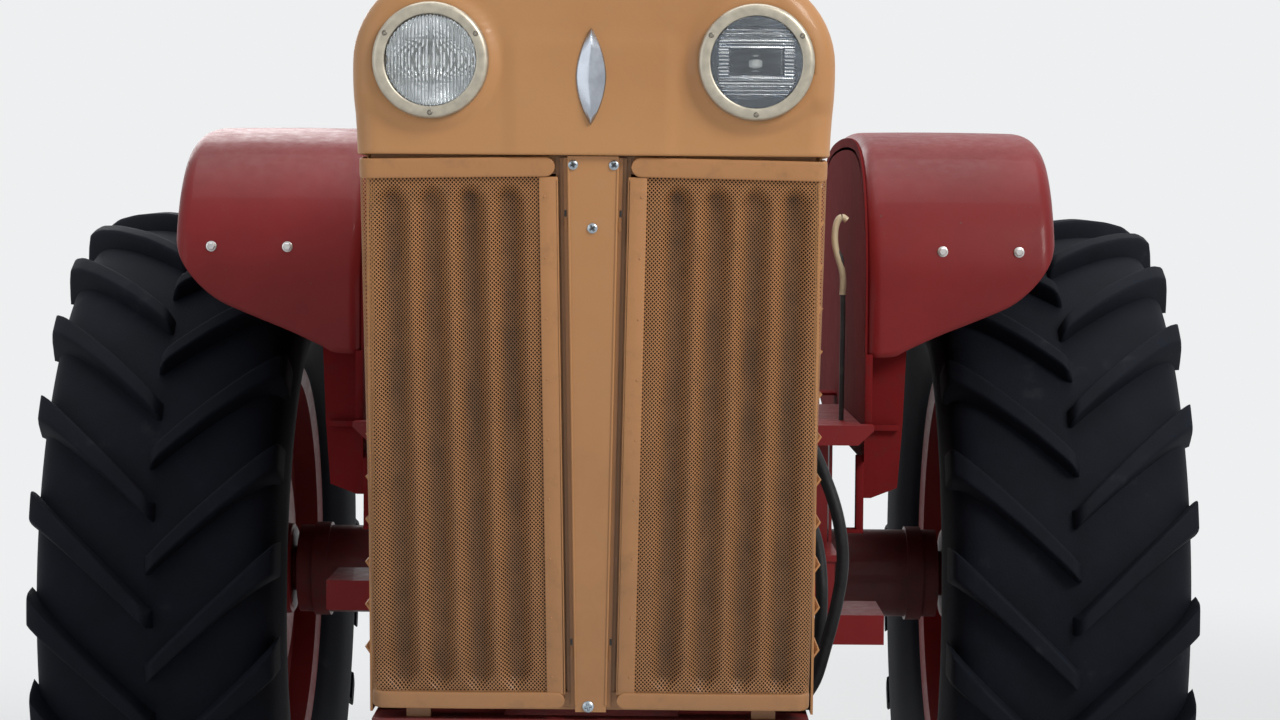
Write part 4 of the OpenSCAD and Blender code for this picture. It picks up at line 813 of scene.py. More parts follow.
def nose_shell():
    """The face, its roll, the walls back to the hood and the lip folded in along the bottom."""
    half, top, r = hood_half - roll_r, hood_top - roll_r, corner_r - roll_r
    low, straight_rows, columns = grille_top + lip_r, 46, 191
    phi = np.concatenate([np.zeros(straight_rows), np.linspace(0, np.pi / 2, 15)[1:]])
    z = np.concatenate([np.linspace(low, top - r, straight_rows), top - r + r * np.sin(phi[straight_rows:])])
    reach = half - r + r * np.cos(phi)
    x = np.linspace(-1, 1, columns)[None] * reach[:, None]
    zz = np.repeat(z[:, None], columns, 1)
    face = np.stack([x, nose_y - face_relief(x, zz), zz], -1)
    quads = grid_faces(*x.shape)
    middle = face.reshape(-1, 3)[quads].mean(1)
    front = kept(face.reshape(-1, 3), quads[from_lamp(middle[:, 0], middle[:, 2]) > opening_r])
    edge = np.concatenate([face[:, 0], face[-1, 1:-1], face[::-1, -1]])
    side = np.stack([-np.cos(phi), 0 * phi, np.sin(phi)], -1)
    over = np.tile([[0, 0, 1.0]], (columns - 2, 1))
    normals = np.concatenate([side, over, (side * [-1, 1, 1])[::-1]])
    roll = rolled(edge, normals, np.linspace(0, np.pi / 2, 9), roll_r)
    deep = np.linspace(0, 1, 12)[1:, None, None]
    back = roll[-1].copy()
    back[:, 1] = nose_back
    whole = np.concatenate([roll, roll[-1][None] * (1 - deep) + back[None] * deep])
    hem = np.concatenate([whole[::-1, 0], face[0, 1:-1], whole[:, -1]])
    inward = np.gradient(hem, axis=0)[:, [1, 0, 2]] * [-1, 1, 0]
    inward /= np.linalg.norm(inward, axis=1, keepdims=True)
    turn = np.linspace(0, np.pi / 2, 5)[:, None, None]
    fold = hem[None] + lip_r * ((1 - np.cos(turn)) * inward - np.sin(turn) * [0, 0, 1.0])
    fold = np.concatenate([fold, fold[-1:] + 0.016 * inward])
    points, faces = join([front, surface(whole), surface(fold[:, ::-1])])
    flare = 0.009 + 0.017 * smoothstep((points[:, 2] - grille_top) / 0.10)
    ahead = np.clip((nose_back - points[:, 1]) / (nose_back - nose_y), 0, 1)
    points[:, 0] *= 1 + flare * smoothstep(ahead / 0.9)
    return points, faces


nose = piece("nose_pressing", nose_shell(), "chassis", sand_enamel, ("nose",), closed=False)
walled(nose, 0.0015)
print("nose faces:", made["nose_pressing"])

# %% [markdown]
# ## Hood
# Behind the nose the hood is one bent sheet over the engine: two soft upper corners, straight
# sides and a rolled lower edge. It is an arch carried along the tractor, with two shallow swages
# pressed along its top that keep the flat part from drumming.

# %% The hood's arch
hood_low_corner, hood_high_corner = corners("hood")


def arch(half, top, r, foot, steps=14):
    """Outline of an arch from its foot at +x over the top to its foot at -x, as (x, z) points."""
    a = np.linspace(0, np.pi / 2, steps)
    bend = np.stack([half - r + r * np.cos(a), top - r + r * np.sin(a)], -1)
    rise = np.stack([np.full(8, half), np.linspace(foot, top - r, 9)[:-1]], -1)
    flat = np.stack([np.linspace(half - r, 0, 20)[1:], np.full(19, top)], -1)
    one = np.concatenate([rise, bend, flat])
    return np.concatenate([one, one[-2::-1] * [-1, 1]])


def hood_sheet():
    """The arch at each distance along the tractor, lowered by two swages that fade at their ends."""
    line = arch(hood_half, hood_top, corner_r, hood_low_corner[2])
    y = np.linspace(hood_low_corner[1], hood_high_corner[1], 90)
    swage = 0.004 * np.exp(-((np.abs(line[:, 0]) - 0.11) / 0.009)**4)[None]
    fade = smoothstep((y - y[0] - 0.05) / 0.05) * smoothstep((y[-1] - y - 0.05) / 0.05)
    drop = swage * fade[:, None] * (line[:, 1] > hood_top - 0.002)
    points = np.stack(np.broadcast_arrays(line[None, :, 0], y[:, None], line[None, :, 1] - drop), -1)
    hem, hem_r = [], 0.005
    for side in (1, -1):
        a = np.linspace(0, 1.5 * np.pi, 10)
        x = side * (hood_half - hem_r + hem_r * np.cos(a))
        z = hood_low_corner[2] + hem_r - hem_r * np.sin(a)
        strip = np.stack(np.broadcast_arrays(x[None], y[:, None], z[None]), -1)
        hem.append(surface(strip[:, ::side]))
    return join([surface(points[:, ::-1])] + hem)


hood = piece("hood_sheet", hood_sheet(), "chassis", sand_enamel, ("hood",), closed=False)
walled(hood, 0.0015)

# %% [markdown]
# ## Headlamps
# A lamp is a bezel with three screws, a parabolic reflector with its bulb, and a pressed glass
# lens. Seen from the front, the left lens scatters sideways with fine upright flutes, and the right
# one has level rows of small facets round a framed block of faint ripples. Each lens is a closed
# body with a smooth front and the pattern on its back, because that is how real ones stay clean.

# %% Bezels, reflectors and screws
lamp_face, bowl_r, screw_ring = nose_y - 0.0108, 0.0548, 0.0628
bezel_outline = [(0.0552, -0.002), (0.0552, 0.0046), (0.0558, 0.0060), (0.0580, 0.0067), (0.0625, 0.0069),
                 (0.0662, 0.0062), (0.0688, 0.0040), (0.0698, 0.0012), (bezel_r, -0.002), (0.0690, -0.0032),
                 (0.0600, -0.0035)]
bulb_outline = [(0.0001, -0.022), (0.005, -0.024), (0.008, -0.030), (0.007, -0.037), (0.005, -0.043),
                (0.005, -0.050)]


def screw(place, r, high, angle):
    """A round cross-slot screw head: a dome over a polar grid, cut down along two narrow bars."""
    x, y, z = place
    rings, spokes = 13, 48
    rho, a = np.meshgrid(r * np.linspace(0, 1, rings), full_turn(spokes), indexing="ij")
    u, w = rho * np.cos(a), rho * np.sin(a)
    up = high * (1 - 0.6 * (rho / r)**3)
    slot = (np.minimum(np.abs(u), np.abs(w)) < 0.17 * r) & (rho < 0.66 * r)
    up = np.where(slot, 0.12 * high, up)
    u, w = spun(u, w, angle)
    head = np.stack([x + u, y - up, z + w], -1)
    foot = np.stack([x + u[-1:], np.full((1, spokes), y + 0.001), z + w[-1:]], -1)
    points = np.concatenate([head, foot]).reshape(-1, 3)
    return points, [grid_faces(rings + 1, spokes, ring_cols=True), np.arange(len(points))[None, -spokes:]]


def bowl(side):
    """The reflector: depth is the square of the radius, as in a parabola, with a rim outside."""
    r = np.linspace(0.003, bowl_r, 22)
    inner = np.stack([r, -0.006 - 0.046 * (1 - (r / bowl_r)**2)], -1)
    outer = np.stack([r[::-1] + 0.001, inner[::-1, 1] - 0.003], -1)
    return turned_ring(np.concatenate([inner, outer]), (side * lamp_x, lamp_face, lamp_z), (0, -1, 0), 72)


bezels, lamp_screws, bulbs = [], [], []
for side in (1, -1):
    centre = (side * lamp_x, lamp_face, lamp_z)
    bezels.append(turned_ring(curve(bezel_outline, 3), centre, (0, -1, 0), 96))
    for a in np.radians([-90, 30, 150]):
        out = screw_ring * np.array([math.cos(a), 0, math.sin(a)])
        lamp_screws.append(screw(centre + out - [0, 0.0064, 0], 0.0034, 0.0016, a))
    bulbs.append(turned(curve(bulb_outline, 3), centre, (0, -1, 0), 32))
piece("lamp_bezels", join(bezels), "chassis", bezel_nickel, ("headlamps",))
piece("lamp_screws", join(lamp_screws), "chassis", dull_steel)
reflector_silver = metal("reflector_silver", (0.90, 0.91, 0.92), 0.12, 0.1, 25.0)
reflector_tarnished = metal("reflector_tarnished", (0.42, 0.46, 0.52), 0.16, 0.15, 25.0)
piece("reflector_left", bowl(1), "chassis", reflector_tarnished)
piece("reflector_right", bowl(-1), "chassis", reflector_silver)
bulb_glass = metal("bulb_glass", (0.75, 0.75, 0.72), 0.25, 0.1, 50.0, 0.2)
piece("lamp_bulbs", join(bulbs), "chassis", bulb_glass)

# %% The pressed glass
def lens(side):
    """A disc of glass: a domed front, and a back whose ribs are sines across the pattern's way.
    The grid's rows are level chords of the disc, so upright flutes and level rows both lie on it."""
    r, n = 0.0549, 116
    thick, rib_high = 0.0052, (0.0019 if side < 0 else 0.0030)
    block_x, block_z, frame_half = 0.031, 0.015, 0.0012
    z = r * np.sin(np.linspace(-np.pi / 2, np.pi / 2, n))
    x = np.linspace(-1, 1, n)[None] * np.sqrt(np.maximum(r**2 - z**2, 1e-9))[:, None]
    zz = np.repeat(z[:, None], n, 1)
    front = 0.0085 - 0.0060 * (x**2 + zz**2) / r**2
    upright = np.abs(np.sin(np.pi * x / 0.0042))
    wide, tall = np.abs(x), np.abs(zz)
    facets = (0.45 + 0.55 * np.sin(np.pi * x / 0.0027)**2) * (tall < 0.043) * (wide < 0.046)
    rows = np.clip(1.6 * np.sin(np.pi * zz / 0.0046)**2 - 0.5, 0, 1) * facets
    block_here = (wide < block_x) & (tall < block_z)
    border = (np.abs(wide - block_x) < frame_half) & (tall < block_z + 0.001)
    border |= (np.abs(tall - block_z) < frame_half) & (wide < block_x + 0.001)
    ripples = 0.35 + 0.10 * np.sin(np.pi * zz / 0.0040)
    ribs = upright if side < 0 else np.where(border, 0.0, np.where(block_here, ripples, rows))
    edge = np.clip((r - np.hypot(x, zz)) / 0.003, 0, 1)
    back = front - thick + rib_high * ribs * edge
    both = [np.stack([side * lamp_x + x, lamp_face - y, lamp_z + zz], -1) for y in (front, back)]
    rim = around(n, n)
    wall = np.stack([rim, np.roll(rim, -1), np.roll(rim, -1) + n * n, rim + n * n], -1)
    quads = grid_faces(n, n)
    return np.concatenate(both).reshape(-1, 3), [quads, quads[:, ::-1] + n * n, wall]


def glass(name, color, rough):
    """Clear pressed glass, a little dusty: roughness follows a fine noise."""
    mat, tree, shader, add = new_material(name)
    shader.inputs["Base Color"].default_value = (*color, 1)
    shader.inputs["Transmission Weight"].default_value = 1.0
    shader.inputs["IOR"].default_value = 1.5
    dust = grain(tree, add, 160.0, 5.0)
    matt = ramp(tree, add, dust.outputs["Fac"], [(0.4, (rough,) * 3), (0.8, (rough + 0.22,) * 3)])
    tree.links.new(matt.outputs["Color"], shader.inputs["Roughness"])
    bump(tree, add, shader, [grain(tree, add, 70.0, 3.0).outputs["Fac"]], 0.08, 0.0006)
    return mat


lens_glass = glass("lens_glass", (0.93, 0.96, 0.97), 0.02)
piece("lamp_glasses", join([lens(1), lens(-1)]), "chassis", lens_glass, ("lamp_lenses",), crease=60)

# %% [markdown]
# ## Ornament and the post's fasteners
# The nose carries a plain chromed spear: a pointed oval with one ridge down its middle. The
# centre post has bright cross-slot screws and a narrow lip along each edge. Beside each lip lies a
# sunk strip, with a latch slot and its tab near the top and near the foot.

# %% Ornament, screws and lips
def spear(x, z, half_wide, half_high, high):
    """A pointed oval whose width is a power of the distance from its ends and whose height falls
    evenly from the middle ridge to the edge, with a softer outer border."""
    v, u = np.meshgrid(np.linspace(-1, 1, 61), np.linspace(-1, 1, 25), indexing="ij")
    wide = half_wide * (1 - np.abs(v)**1.8)**0.9
    up = high * (1 - np.abs(u)**1.25) * (1 - v**4)**0.5 + 0.0012 * (np.abs(u) < 0.99)
    front = np.stack([x + u * wide, nose_y - 0.002 - up, z + v * half_high], -1)
    back = front.copy()
    back[..., 1] = nose_y + 0.001
    first_rim = np.concatenate([back[:, :1], front[:, :1]], 1)
    last_rim = np.concatenate([front[:, -1:], back[:, -1:]], 1)
    return join([surface(front), surface(back[:, ::-1]), surface(first_rim), surface(last_rim)])


spear_low, spear_high = corners("nose_ornament")
spear_mid, spear_half = (spear_low + spear_high) / 2, (spear_high - spear_low) / 2
piece("spear", spear(spear_mid[0], spear_mid[2], 0.0185, spear_half[2], 0.0085), "chassis", old_chrome,
      ("nose_ornament",), crease=25)

# A screw's row is its x, its height below the grille's top, its radius and its turn. A strip's row
# is its near and its far edge, counted from the post's own edge, and its depth.
post_half_top, post_half_foot, post_long = 0.0300, 0.0183, 0.688
screw_rows = ((-0.0242, -0.0115, 0.0060, 0.3), (0.0252, -0.0115, 0.0060, 0.9), (-0.0004, -0.088, 0.0062, 0.6))
strip_rows = ((-0.0010, 0.0061, 0.0085), (0.0052, 0.0106, 0.0152))


def on_rake(x, z, off=0.0):
    """Places on the centre post: z below the grille's top, off in front of the post."""
    y = grille_y - off * math.cos(rake) - z * math.sin(rake)
    return np.stack(np.broadcast_arrays(x, y, grille_top + z * math.cos(rake)), -1)


def post_edge(z):
    """Half width of the tapering post at z below the grille's top."""
    return post_half_top + (post_half_foot - post_half_top) * z / -post_long


def post_screws():
    """The cross-slot screws of the post, each a head on the raked face."""
    high = 0.0032
    return join([screw(on_rake(x, z), r, high, angle) for x, z, r, angle in screw_rows])


def screw_slots():
    """The dark cross in each of the post's screws: two short bars, turned and let into the head."""
    bars = []
    for x, z, r, angle in screw_rows:
        for half in ([0.0029, 0.0006, 0.0007], [0.0007, 0.0006, 0.0029]):
            points, faces = block(-np.array(half), half, 0.0003)
            u, w = spun(points[:, 0], points[:, 2], angle)
            bars.append((np.stack([u, points[:, 1], w], -1) + on_rake(x, z, 0.0030), faces))
    return join(bars)


def post_lips():
    """Two narrow lips along the tapering edges of the post, as thin rounded bars."""
    z = -post_long * np.linspace(0.01, 0.99, 12)
    lines = [on_rake(side * post_edge(z), z) + [0, 0.0002, 0] for side in (1, -1)]
    return join([tube(line, 0.0016, 10) for line in lines])


def post_flanges():
    """The sunk strips on both sides of the post: a slat behind each lip and a deeper one beside it,
    out of the way of the opening panel."""
    slats = []
    z = -post_long * np.linspace(0.004, 0.996, 20)
    for side, near, far, deep in [(s, *row) for row in strip_rows for s in (1, -1)]:
        outline = [(near, deep), (far, deep), (far, deep + 0.0015), (near, deep + 0.0015)]
        rings = [on_rake(side * (post_edge(z) + a), z) + [0, b, 0] for a, b in outline]
        slats.append(capped(np.stack(rings, 1)))
    return join(slats)


zinc_screws = metal("zinc_screws", (0.42, 0.48, 0.53), 0.28, 0.2, 120.0)
piece("post_screws", post_screws(), "chassis", zinc_screws, crease=30)
piece("screw_slots", screw_slots(), "chassis", black_enamel)
piece("post_lips", post_lips(), "chassis", post_enamel)
piece("post_flanges", post_flanges(), "chassis", post_enamel)


def latch_marks():
    """On each sunk strip, near the top and near the foot: a dark latch slot with its tab below."""
    slots, tabs = [], []
    depth = 0.0084
    slot_half, tab_half = np.array([0.0013, 0.0006, 0.0040]), np.array([0.0023, 0.0009, 0.0084])
    for side, z in [(s, height) for s in (1, -1) for height in (-0.0700, -0.6020)]:
        at = on_rake(side * (post_edge(z) + 0.0046), z, -depth)
        below = on_rake(side * (post_edge(z) + 0.0036), z - 0.0135, -depth)
        slots.append(block(at - slot_half, at + slot_half, 0.0004))
        tabs.append(block(below - tab_half, below + tab_half, 0.0006))
    return join(slots), join(tabs)


latch_slots, latch_tabs = latch_marks()
piece("latch_slots", latch_slots, "chassis", black_enamel)
piece("latch_tabs", latch_tabs, "chassis", post_enamel)
foot_screw = screw(on_rake(-0.003, -0.683), 0.0070, 0.0035, 0.2)
piece("foot_screw", foot_screw, "chassis", zinc_screws, crease=30)

# %% [markdown]
# ## Fenders
# A fender is one broad pressing: a front face whose lower edge sweeps up and out in an arc, a
# shoulder that bends over into the long top, and both long edges rolled down. One smooth
# side line gives the bend, an across profile gives the crown and the rolled edges, and every
# column starts on the arc, so the arc is a true edge of the sheet.

# %% The fender's sheet
fender_in, fender_out, shoulder_z, face_points = 0.482, 0.847, 1.600, 70
side_line = curve([
    (-0.812, 1.300), (-0.812, 1.380), (-0.811, 1.440), (-0.806, 1.510), (-0.780, 1.590), (-0.730, 1.660),
    (-0.650, 1.716), (-0.540, 1.748), (-0.400, 1.764), (-0.200, 1.772), (0.0, 1.772), (0.2, 1.764),
    (0.360, 1.742), (0.510, 1.694), (0.640, 1.608), (0.730, 1.490), (0.780, 1.340)], 12)
arc = curve([
    (fender_in, 1.322), (0.535, 1.324), (0.560, 1.336), (0.620, 1.364), (0.682, 1.389), (0.744, 1.415),
    (0.770, 1.430), (0.792, 1.448), (0.810, 1.467), (0.824, 1.486), (0.836, 1.508), (0.843, 1.530),
    (fender_out, 1.552)], 6)


def fender_sheet():
    """Rows run up the face and along the top. In the face they start on the arc and meet at the
    shoulder; above it every column keeps the same place on the side line. Each point is moved in
    from the line, square to it, by the across profile: a quarter roll at both edges, a crown between."""
    columns, roll, skirt_long = 71, 0.029, 0.006
    run = way_along(side_line)
    share = 0.5 - 0.5 * np.cos(np.linspace(0, np.pi, columns))
    x = fender_in + (fender_out - fender_in) * share
    low = np.interp(x, arc[:, 0], arc[:, 1])
    shoulder, start = (np.interp(z, side_line[:face_points, 1], run[:face_points]) for z in (shoulder_z, low))
    rise = np.linspace(0, 1, 26)[:, None]
    s = np.concatenate([start[None] * (1 - rise) + shoulder * rise,
                        np.repeat(np.linspace(shoulder, run[-1], 110)[1:, None], columns, 1)])
    y, z = (np.interp(s, run, side_line[:, k]) for k in (0, 1))
    ty, tz = (np.interp(s, run, np.gradient(side_line[:, k], run)) for k in (0, 1))
    inward = np.stack([0 * s, tz, -ty], -1) / np.hypot(ty, tz)[..., None]
    edge = np.minimum(x - fender_in, fender_out - x)
    drop = roll - np.sqrt(roll**2 - (roll - np.minimum(edge, roll))**2)
    drop = np.minimum(drop, roll) - 0.003 * np.sin(np.pi * share)**0.6
    points = np.stack([np.broadcast_to(x, s.shape), rear_y + y, z], -1) + drop[:, None] * inward
    skirt = points + skirt_long * inward
    return surface(np.concatenate([skirt[:, :1], points, skirt[:, -1:]], 1))


def plate(outline, axis, at, thick):
    """A flat plate: an outline of (a, b) points in the plane across an axis, and its thickness."""
    o = np.asarray(outline, float)
    rings = []
    for t in (0, thick):
        fixed = np.full(len(o), at + t)
        rings.append(np.stack([fixed, o[:, 0], o[:, 1]] if axis == 0 else [o[:, 0], fixed, o[:, 1]], -1))
    return capped(np.stack(rings))


def bolt(place, r, high):
    """A bolt head with a chamfered top on a thin round washer, looking forwards."""
    head = [(r, 0.0), (r, 0.8 * high), (0.86 * r, high), (1e-4, high)]
    washer = [(1.35 * r, -0.001), (1.35 * r, 0.0012), (1.2 * r, 0.0018), (1e-4, 0.0018)]
    return join([turned(head, place, (0, -1, 0), 6), turned(washer, place, (0, -1, 0), 32)])


platform_z = 1.195


def fender_plates():
    """What carries the sheet: the inner panel, its flange, the closing plate under the face with
    its ledge and foot, and the bracket down to the axle tube."""
    inset = side_line[side_line[:, 1] > 1.46] * [0.992, 1] + [0, -0.010]
    side_plate = np.concatenate([inset, [[0.640, 1.180], [0.300, 1.120], [-0.240, 1.120], [-0.806, 1.120]]])
    closing = [(0.484, 1.340), (0.566, 1.340), (0.560, 1.190), (0.551, 1.066), (0.500, 1.046), (0.484, 1.046)]
    y, front, back = rear_y, rear_y - 0.05, rear_y + 0.05
    return join([
        # the inner panel and its flange
        plate(side_plate + [y, 0], 0, fender_in, 0.004),
        block((fender_in, y - 0.812, platform_z + 0.003), (fender_in + 0.014, y - 0.806, 1.328), 0.001),
        # the closing plate, its ledge and its foot
        plate(closing, 1, y - 0.756, 0.004),
        block((0.484, y - 0.772, 1.178), (0.552, y - 0.754, 1.190), 0.002),
        block((0.470, y - 0.772, 0.985), (0.485, y - 0.744, 1.130), 0.002),
        block((0.448, y - 0.775, 0.979), (0.485, y - 0.740, 0.987), 0.002),
        # the bracket: an arm to the panel, an upright and a foot on the axle tube
        block((0.440, front, 1.200), (fender_in + 0.002, back, 1.206), 0.001),
        block((0.436, front, 0.9253), (0.444, back, 1.206), 0.001),
        block((0.400, front, 0.9253), (0.440, back, 0.935), 0.001)])


fender = piece("fender_sheets", both_sides(fender_sheet()), "chassis", red_enamel, ("fenders",), closed=False)
walled(fender, 0.003)
piece("fender_plates", both_sides(fender_plates()), "chassis", inner_red)
bolt_places = [(side * x, rear_y - 0.8065, 1.526) for side in (1, -1) for x in (0.628, 0.774)]
face_bolts = join([bolt(place, 0.0075, 0.006) for place in bolt_places])
piece("fender_bolts", face_bolts, "chassis", bright_steel, crease=30)
print("fender faces:", made["fender_sheets"])

# %% [markdown]
# ## Rear tyres
# A drive tyre is a smooth carcass with long curved lugs that meet in a chevron. The carcass is a
# profile turned round the axle. One lug is a grid: along it the section widens and its top
# falls towards the shoulder, across it the height follows a soft-edged plateau. The same grid is
# then turned to every place round the wheel in one array operation.

# %% Carcass and lugs
tyre_low, tyre_high = corners("rear_tyre_left")
track = (tyre_low[0] + tyre_high[0]) / 2
tyre_half = (tyre_high[0] - tyre_low[0]) / 2
lug_count, lug_high, lug_sweep = 23, 0.038, math.radians(16)
bead_half, bead_r = 0.186, 0.432


def wheel_rings(profile, x, y, z, segments):
    """A closed profile of (distance out, radius) turned round a wheel's axle."""
    p = np.asarray(profile, float)
    return turned_ring(np.stack([p[:, 1], p[:, 0]], -1), (x, y, z), (1, 0, 0), segments)


def carcass():
    """The tyre's own section, smoothed through a few points and closed through the bead."""
    rc = rear_r - lug_high
    half = np.array([[bead_half - 0.014, bead_r + 0.004], [bead_half - 0.006, bead_r + 0.027],
                     [bead_half + 0.018, bead_r + 0.046], [tyre_half - 0.013, bead_r + 0.095],
                     [tyre_half - 0.001, bead_r + 0.165], [tyre_half - 0.004, rc - 0.110],
                     [tyre_half - 0.019, rc - 0.052], [tyre_half - 0.050, rc - 0.021],
                     [tyre_half - 0.110, rc - 0.007], [0.04, rc - 0.001]])
    line = curve(np.concatenate([half, half[::-1] * [-1, 1]]), 5)
    bead_in = bead_half - 0.070
    bead = np.array([[-bead_in, bead_r - 0.003], [0.0, bead_r + 0.02], [bead_in, bead_r - 0.003]])
    return wheel_rings(np.concatenate([line, bead])[::-1], track, rear_y, rear_r, 120)


def lug_grid(side):
    """One lug in the wheel's own polar terms: distance out, radius and angle on a 30 by 17 grid."""
    s = 0.5 - 0.5 * np.cos(np.linspace(0, np.pi, 30))[:, None]
    t = np.sin(np.linspace(-np.pi / 2, np.pi / 2, 17))[None]
    out = -0.010 + (tyre_half + 0.0085) * s
    # towards the shoulder the lug's top and its foot both fall, and it widens
    top = rear_r - np.interp(out, [-0.010, 0.09, 0.17, 0.215, tyre_half], [0.001, 0.003, 0.012, 0.022, 0.042])
    foot = rear_r - lug_high - 0.014 - np.interp(out, [0, 0.17, tyre_half], [0, 0.016, 0.066])
    wide = np.interp(out, [-0.01, 0.09, 0.17, tyre_half], [0.021, 0.026, 0.031, 0.040])
    # the soft edges along the lug and the rounded ends
    bevel = np.clip((1 - np.abs(t)) / 0.42, 0, 1)
    plateau = (1 - (1 - bevel)**3.2)**0.62
    ends = (1 - (1 - np.clip(s / 0.10, 0, 1))**3)**0.7 * (1 - (1 - np.clip((1 - s) / 0.035, 0, 1))**2)**0.5
    radius = foot + (top - foot) * plateau * ends
    bent = lug_sweep * np.maximum(out, 0)**0.96 / 0.232**0.96
    angle = -bent + t * wide / rear_r
    return side * out + 0 * t, radius, angle


def lugs():
    """Every lug of the tyre: the grid turned to its place, the two sides half a step apart."""
    shapes = []
    for side in (1, -1):
        out, radius, angle = lug_grid(side)
        places = np.arange(lug_count) * 2 * np.pi / lug_count + (np.pi / lug_count if side > 0 else 0)
        a = angle[None] + places[:, None, None]
        y, z = rear_y + radius * np.cos(a), rear_r + radius * np.sin(a)
        points = np.stack(np.broadcast_arrays(track + out, y, z), -1)
        under = around(*points.shape[1:3])[None, ::-1]
        for p in points[:, :, ::side]:
            flat, faces = surface(p)
            shapes.append((flat, faces + [under]))
    return join(shapes)


rear_tyre = join([carcass(), lugs()])
for side, word in sides:
    piece("drive_tyre_" + word, sided(rear_tyre, side), "rear_wheel_" + word, tyre_rubber,
          ("rear_tyre_" + word,), crease=60, closed=False)
print("rear tyre faces:", made["drive_tyre_left"])

# %% [markdown]
# ## Front tyres
# The steered tyres have three ribs with two grooves between them. The section is one closed
# profile, smoothed and turned round the axle.

# %% Ribbed front tyres
front_track = sum(corners("front_tyre_left"))[0] / 2
front_r = corners("front_tyre_left")[1][2] / 2


def front_tyre():
    """The ribbed section: steep grooves between flat ribs, round shoulders, beads on the rim. w and
    b are half the tyre's and half the rim's width, and bead is the rim's radius."""
    w, b, bead, top = 0.100, 0.072, 0.229, front_r
    half = np.array([
        [b - 0.009, bead + 0.002], [b - 0.004, bead + 0.017], [b + 0.014, bead + 0.036], [w, bead + 0.080],
        [w - 0.002, top - 0.092], [w - 0.017, top - 0.050], [w - 0.030, top - 0.030],
        [w - 0.049, top - 0.021], [w - 0.052, top - 0.008], [w - 0.056, top - 0.0055],
        [w - 0.068, top - 0.0050], [w - 0.071, top - 0.009], [w - 0.074, top - 0.018],
        [0.014, top - 0.015], [0.012, top - 0.003], [0.009, top - 0.0005]])
    line = curve(np.concatenate([half, half[::-1] * [-1, 1]]), 3)
    bead_line = np.array([[-b + 0.036, bead - 0.003], [0.0, bead + 0.01], [b - 0.036, bead - 0.003]])
    return wheel_rings(np.concatenate([line, bead_line]), front_track, front_y, front_r, 112)


ribbed_tyre = front_tyre()
for side, word in sides:
    piece("ribbed_tyre_" + word, sided(ribbed_tyre, side), "front_wheel_" + word, tyre_rubber,
          ("front_tyre_" + word,), crease=50)

# %% [markdown]
# ## Seat
# Seat and back are foam under black vinyl. Each starts as a rounded block a little smaller than
# its solid. Blender's Cloth blows it up from inside for twenty frames, and no point may move
# further than a cap, as the real cover only stretches so far. Only then are the sewn channels
# pressed in, because the remesh would wipe them out. A piping closes the seam round the edge.

# %% Seat cushions
corner_power, pad_pressure, pad_cap, cloth_frames = 0.35, 4.0, 0.011, 20


def pad_block(low, high, edge, thin):
    """A pad as rings along its thin axis. Each ring is a superellipse, |cos| and |sin| to the power
    of corner_power, drawn in near both ends by a quarter circle of radius edge."""
    order = [k for k in range(3) if k != thin] + [thin]
    mid, half = (low + high)[order] / 2, (high - low)[order] / 2
    a = full_turn(96)
    outline = signed_power(np.stack([np.cos(a), np.sin(a)], -1), corner_power)
    q = np.linspace(0, np.pi / 2, 6)
    drawn = np.concatenate([edge * (1 - np.sin(q)), edge * (1 - np.cos(q))])
    level = np.concatenate([-half[2] + edge * (1 - np.cos(q)), half[2] - edge * (1 - np.sin(q))])
    rings = np.zeros((len(level), len(a), 3))
    rings[..., :2] = outline * (half[:2] - drawn[:, None, None])
    rings[..., 2] = level[:, None]
    return capped((rings + mid)[..., np.argsort(order)])


def stuffed(name, shape, voxel=0.006):
    """A shape swollen like a stuffed cover: voxel remesh, Cloth with inner pressure and no gravity,
    then each point's move is the cap times tanh of its length over the cap. Returns a mesh."""
    mesh = bpy.data.meshes.new(name)
    mesh.from_pydata(shape[0].tolist(), [], [q for a in shape[1] for q in a.tolist()])
    ob = bpy.data.objects.new(name, mesh)
    scene = bpy.context.scene
    scene.collection.objects.link(ob)
    remesh = ob.modifiers.new("even", "REMESH")
    remesh.mode = "VOXEL"
    remesh.voxel_size = voxel
    even = bpy.data.meshes.new_from_object(ob.evaluated_get(bpy.context.evaluated_depsgraph_get()))
    ob.modifiers.clear()
    ob.data = even
    start = points_of(even)
    cloth = ob.modifiers.new("cover", "CLOTH")
    cloth.settings.use_pressure = True
    cloth.settings.uniform_pressure_force = pad_pressure
    cloth.settings.effector_weights.gravity = 0
    cloth.point_cache.frame_start, cloth.point_cache.frame_end = 1, cloth_frames
    for frame_number in range(1, cloth_frames + 1):
        scene.frame_set(frame_number)
    blown = points_of(ob.evaluated_get(bpy.context.evaluated_depsgraph_get()).data)
    move = blown - start
    far = np.linalg.norm(move, axis=1, keepdims=True) + 1e-9
    start = start + move / far * pad_cap * np.tanh(far / pad_cap)
    even.vertices.foreach_set("co", start.ravel())
    scene.frame_set(1)
    ob.modifiers.clear()
    bpy.data.objects.remove(ob)
    return even


def points_of(mesh):
    """The vertices of a mesh as an array."""
    flat = np.empty(len(mesh.vertices) * 3)
    mesh.vertices.foreach_get("co", flat)
    return flat.reshape(-1, 3)


def finer(mesh):
    """The mesh with one step of subdivision applied."""
    ob = bpy.data.objects.new("finer", mesh)
    bpy.context.scene.collection.objects.link(ob)
    step = ob.modifiers.new("smooth", "SUBSURF")
    step.levels = step.render_levels = 1
    fine = bpy.data.meshes.new_from_object(ob.evaluated_get(bpy.context.evaluated_depsgraph_get()))
    bpy.data.objects.remove(ob)
    return fine


